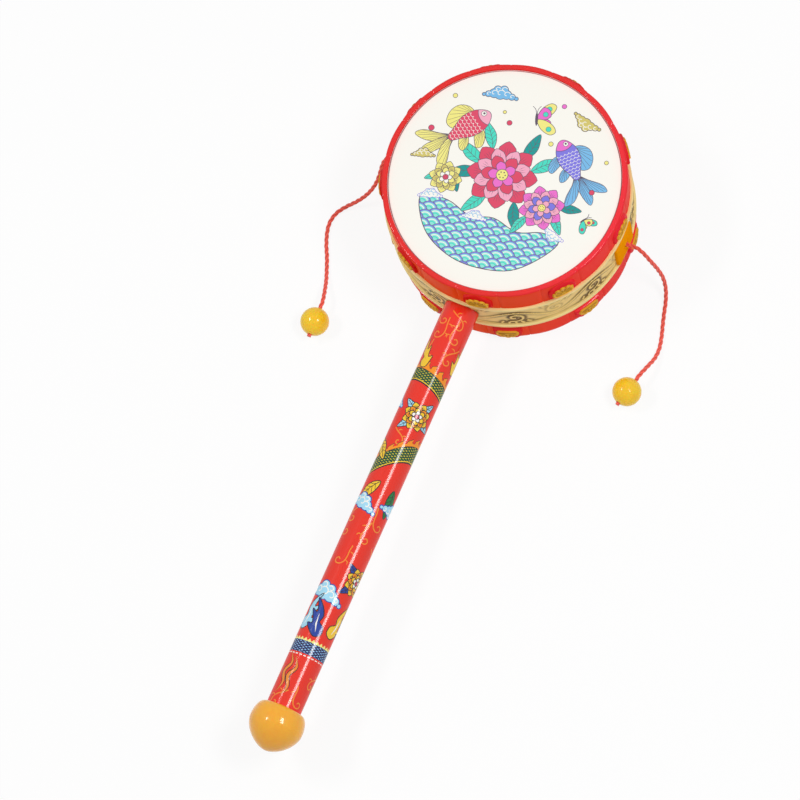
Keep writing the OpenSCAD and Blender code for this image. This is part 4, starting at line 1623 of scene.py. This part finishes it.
class RATTLE_OT_handle(bpy.types.Operator):
    """Makes the printed tube and the knob on its end"""
    bl_idname = "rattle.handle"
    bl_label = "Handle"

    def execute(self, context):
        inks, colours = context.scene.rattle_print, context.scene.rattle_finish
        shape = HandleShape(context.scene.rattle_handle)
        lacquer = printed_sheet("printed_tube", roughness=0.4, coat=0.6, fibre=0.001)
        make_piece("printed_handle_tube", shape.tube(inks), lacquer, "root", ["handle_tube"],
                   facing=shape.facing)
        amber = translucent_plastic("knob_plastic", colours.knob, glow=0.35, roughness=0.3, coat=0.7)
        make_piece("moulded_knob", shape.knob(), amber, "root", ["end_knob"])
        return {"FINISHED"}


def tube_print(inks, outline, cuts, girth):
    """The picture round the tube, of scrolls, flowers, clouds and bands of scales. s is 0 under the tube."""
    picture = Print(outline, inks.tube, cuts)
    for shift in (-girth, 0, girth):
        draw_tube_ground(picture, inks, shift, girth, random.Random(7))
    draw_scale_band(picture, inks, girth, along=29.0, sway=2.0, half=2.5, phase=2.4)
    draw_scale_band(picture, inks, girth, along=58.0, sway=4.6, half=3.2, phase=0.2)
    for shift in (-girth, 0, girth):
        draw_tube_flowers(picture, inks, shift, girth)
    draw_collar(picture, inks, girth, 127.5)
    return picture.sheet()


def draw_tube_ground(picture, inks, shift, girth, rng):
    """Thin scrolls on the bare stretches, turned this way and that, and bold wisps by the knob."""
    for along, count, size in (
            (6, 4, 0.8), (12, 4, 0.9), (19, 4, 0.85), (49, 3, 0.7), (79, 4, 0.9), (86, 4, 0.85),
            (93, 3, 0.85), (137, 2, 0.7), (145, 4, 0.8)):
        for k in range(count):
            at = (shift + girth * (k + rng.uniform(0.2, 0.8)) / count, along + rng.uniform(-2.0, 2.0))
            draw_curl(picture, at, size, rng.uniform(0.9, 2.2), inks.scroll, 0.38, rng.random() < 0.5)
    wisp = smooth(((0, -5.6), (1.5, -2.9), (0.2, -0.2), (1.3, 2.6), (0.4, 5.4)), closed=False, steps=5)
    for along, place, flip in (
            (137.5, 0.38, False), (139, 0.74, True), (138.5, 0.06, False), (96, 0.16, True)):
        for aside in (0, 2.3):
            at = (shift + girth * place + aside, along + aside / 2)
            for width, colour in ((1.7, inks.dark), (1.1, inks.scroll)):
                picture.line(placed(wisp, at, 0.0, 1.3, flip), width, colour, taper=True)


def draw_scale_band(picture, inks, girth, along, sway, half, phase):
    """A band of green scales that sways round the tube, fringed with flames."""
    # Steps of the band's edges round the tube, and beyond it at each side of the seam
    steps, beyond = 40, 4

    def edge(side, out=0.0):
        away = along + side * (half + out)
        return [Vector((girth * i / steps, away + sway * math.sin(TURN * i / steps + phase)))
                for i in range(-beyond, steps + beyond + 1)]

    flames = edge(-1)
    for first in range(0, len(flames) - 3, 3):
        a, b, c = flames[first], flames[first + 1], flames[first + 3]
        tongue = [a, a + Vector((0.2, -1.6)), b + Vector((0.9, -2.6)), b + Vector((0.9, -1.4)), c, b]
        picture.shape(tongue, inks.fringe, 0.2, inks.dark)
    band = picture.fill(edge(-1) + edge(1)[::-1], inks.leaf)
    low, high = (-2, along - sway - half - 1), (girth + 2, along + sway + half + 1)
    draw_scales(picture, band, low, high, 0.95, ((1.0, 0.26, inks.dark), (0.5, 0.2, inks.flame)), 5)
    picture.line(edge(-1), 0.95, inks.fringe)
    picture.line(edge(-1, -0.5), 0.24, inks.dark)
    picture.line(edge(1), 0.5, inks.dark)
    picture.line(edge(1, -0.4), 0.3, inks.flame)


def draw_tube_flowers(picture, inks, shift, girth):
    """Flowers, flames and clouds down the tube."""
    def at(place, along):
        return (shift + girth * place, along)

    for place, along, turn, flip in (
            (0.42, 24.0, -1.9, False), (0.72, 22.5, -1.4, True), (0.12, 23.0, -1.6, False)):
        draw_flame(picture, at(place, along), 0.95, turn, inks.flame, inks.dark, flip, 0.3)
    petals = (inks.flame, inks.fringe, inks.flame, inks.paper)
    for place, along, leaves in (
            (0.56, 41.5, inks.cloud), (0.06, 43.0, inks.leaf), (0.70, 101.0, inks.deep)):
        for turn, flip in ((0.5, False), (2.3, True), (3.9, False), (5.3, True)):
            draw_leaf(picture, at(place, along), 0.7, turn, leaves, inks.dark, flip, 0.3)
        draw_peony(picture, at(place, along), 4.9, 0.3, petals, inks.rose, inks.dark, 0.28)
    for place, along, turn, colour, flip in (
            (0.50, 66.5, 2.2, inks.flame, False), (0.66, 67.5, 1.5, inks.leaf, True),
            (0.98, 67.0, 2.0, inks.flame, False), (0.27, 51.0, 0.9, inks.flame, True)):
        draw_leaf(picture, at(place, along), 0.95, turn, colour, inks.dark, flip, 0.32)
    for place, along, size, turn, flip in (
            (0.41, 75.0, 0.68, 0.3, False), (0.75, 73.5, 0.6, -0.3, True), (0.44, 108.0, 0.8, 0.2, False),
            (0.96, 109.0, 0.7, -0.2, True), (0.10, 83.0, 0.6, 0.1, True), (0.24, 37.0, 0.6, 0.3, False)):
        draw_cloud(
            picture, at(place, along), size, turn + math.pi, inks.cloud, inks.deep, inks.paper, flip, 0.34)
    for place, along, turn, colour, flip in (
            (0.36, 121, -1.4, inks.cloud, False), (0.52, 122.5, -1.8, inks.deep, True),
            (0.66, 121, -1.3, inks.flame, False), (0.84, 122.5, -1.7, inks.deep, True),
            (0.02, 121, -1.4, inks.cloud, False), (0.20, 122.5, -1.9, inks.deep, True)):
        draw_flame(picture, at(place, along), 1.2, turn, colour, inks.dark, flip, 0.34)
        picture.line(placed(((0.6, 0), (3, 0.2), (6, -0.2)), at(place, along), turn, 1.2, flip),
                     0.55, inks.paper, taper=True)


def draw_collar(picture, inks, girth, along):
    """A collar of dark blue scales, with a pale flame line above it and white dashes below."""
    half, scales, count = 2.2, 20, 26
    ring = picture.fill([Vector((-1, along - half)), Vector((girth + 1, along - half)),
                         Vector((girth + 1, along + half)), Vector((-1, along + half))], inks.deep)
    draw_scales(picture, ring, (-1, along - half - 1), (girth + 1, along + half + 1), girth / scales / 2,
                ((1.0, 0.26, inks.dark), (0.5, 0.22, inks.cloud)), 5)
    step = girth / count
    for i in range(count + 1):
        x = girth * i / count
        picture.fill([Vector((x - step / 2, along - half)), Vector((x, along - half - 1.0)),
                      Vector((x + step / 2, along - half)), Vector((x, along - half + 0.3))], inks.yellow)
        picture.fill([Vector((x + dx, along + half + 0.5 + dy)) for dx, dy in
                      ((0.15, 0), (step - 0.4, 0), (step - 0.4, 0.35), (0.15, 0.35))], inks.paper)
    picture.line([Vector((-1, along - half)), Vector((girth + 1, along - half))], 0.3, inks.yellow)


class RATTLE_OT_inner(bpy.types.Operator):
    """Finishes the solids that stay as they are: the shell and the spigot inside it"""
    bl_idname = "rattle.inner"
    bl_label = "Shell and spigot"

    def execute(self, context):
        plastic = moulded_plastic("shell_plastic", context.scene.rattle_finish.shell, 0.4)
        for node in ("drum_shell", "handle_spigot"):
            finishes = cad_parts[node].data.materials
            finishes.clear()
            finishes.append(plastic)
        return {"FINISHED"}


class RATTLE_PT_sidebar(bpy.types.Panel):
    """Sizes and colours of the rattle, and the operators that make its pieces"""
    bl_label = "Pellet drum rattle"
    bl_idname = "RATTLE_PT_sidebar"
    bl_space_type = "VIEW_3D"
    bl_region_type = "UI"
    bl_category = "Rattle"

    def draw(self, context):
        for operator in OPERATORS:
            self.layout.operator(operator.bl_idname)
        for name, group in SETTINGS:
            box = self.layout.box()
            for prop in group.__annotations__:
                box.prop(getattr(context.scene, name), prop)


OPERATORS = (
    RATTLE_OT_studio, RATTLE_OT_cords, RATTLE_OT_hoops, RATTLE_OT_heads, RATTLE_OT_band, RATTLE_OT_handle,
    RATTLE_OT_inner)


def register():
    for name, group in SETTINGS:
        bpy.utils.register_class(group)
        setattr(bpy.types.Scene, name, PointerProperty(type=group))
    for operator in OPERATORS:
        bpy.utils.register_class(operator)
    bpy.utils.register_class(RATTLE_PT_sidebar)


def unregister():
    bpy.utils.unregister_class(RATTLE_PT_sidebar)
    for operator in reversed(OPERATORS):
        bpy.utils.unregister_class(operator)
    for name, group in reversed(SETTINGS):
        delattr(bpy.types.Scene, name)
        bpy.utils.unregister_class(group)


def main():
    register()
    for operator in OPERATORS:
        getattr(bpy.ops.rattle, operator.bl_idname.removeprefix("rattle."))()


if __name__ == "__main__":
    main()
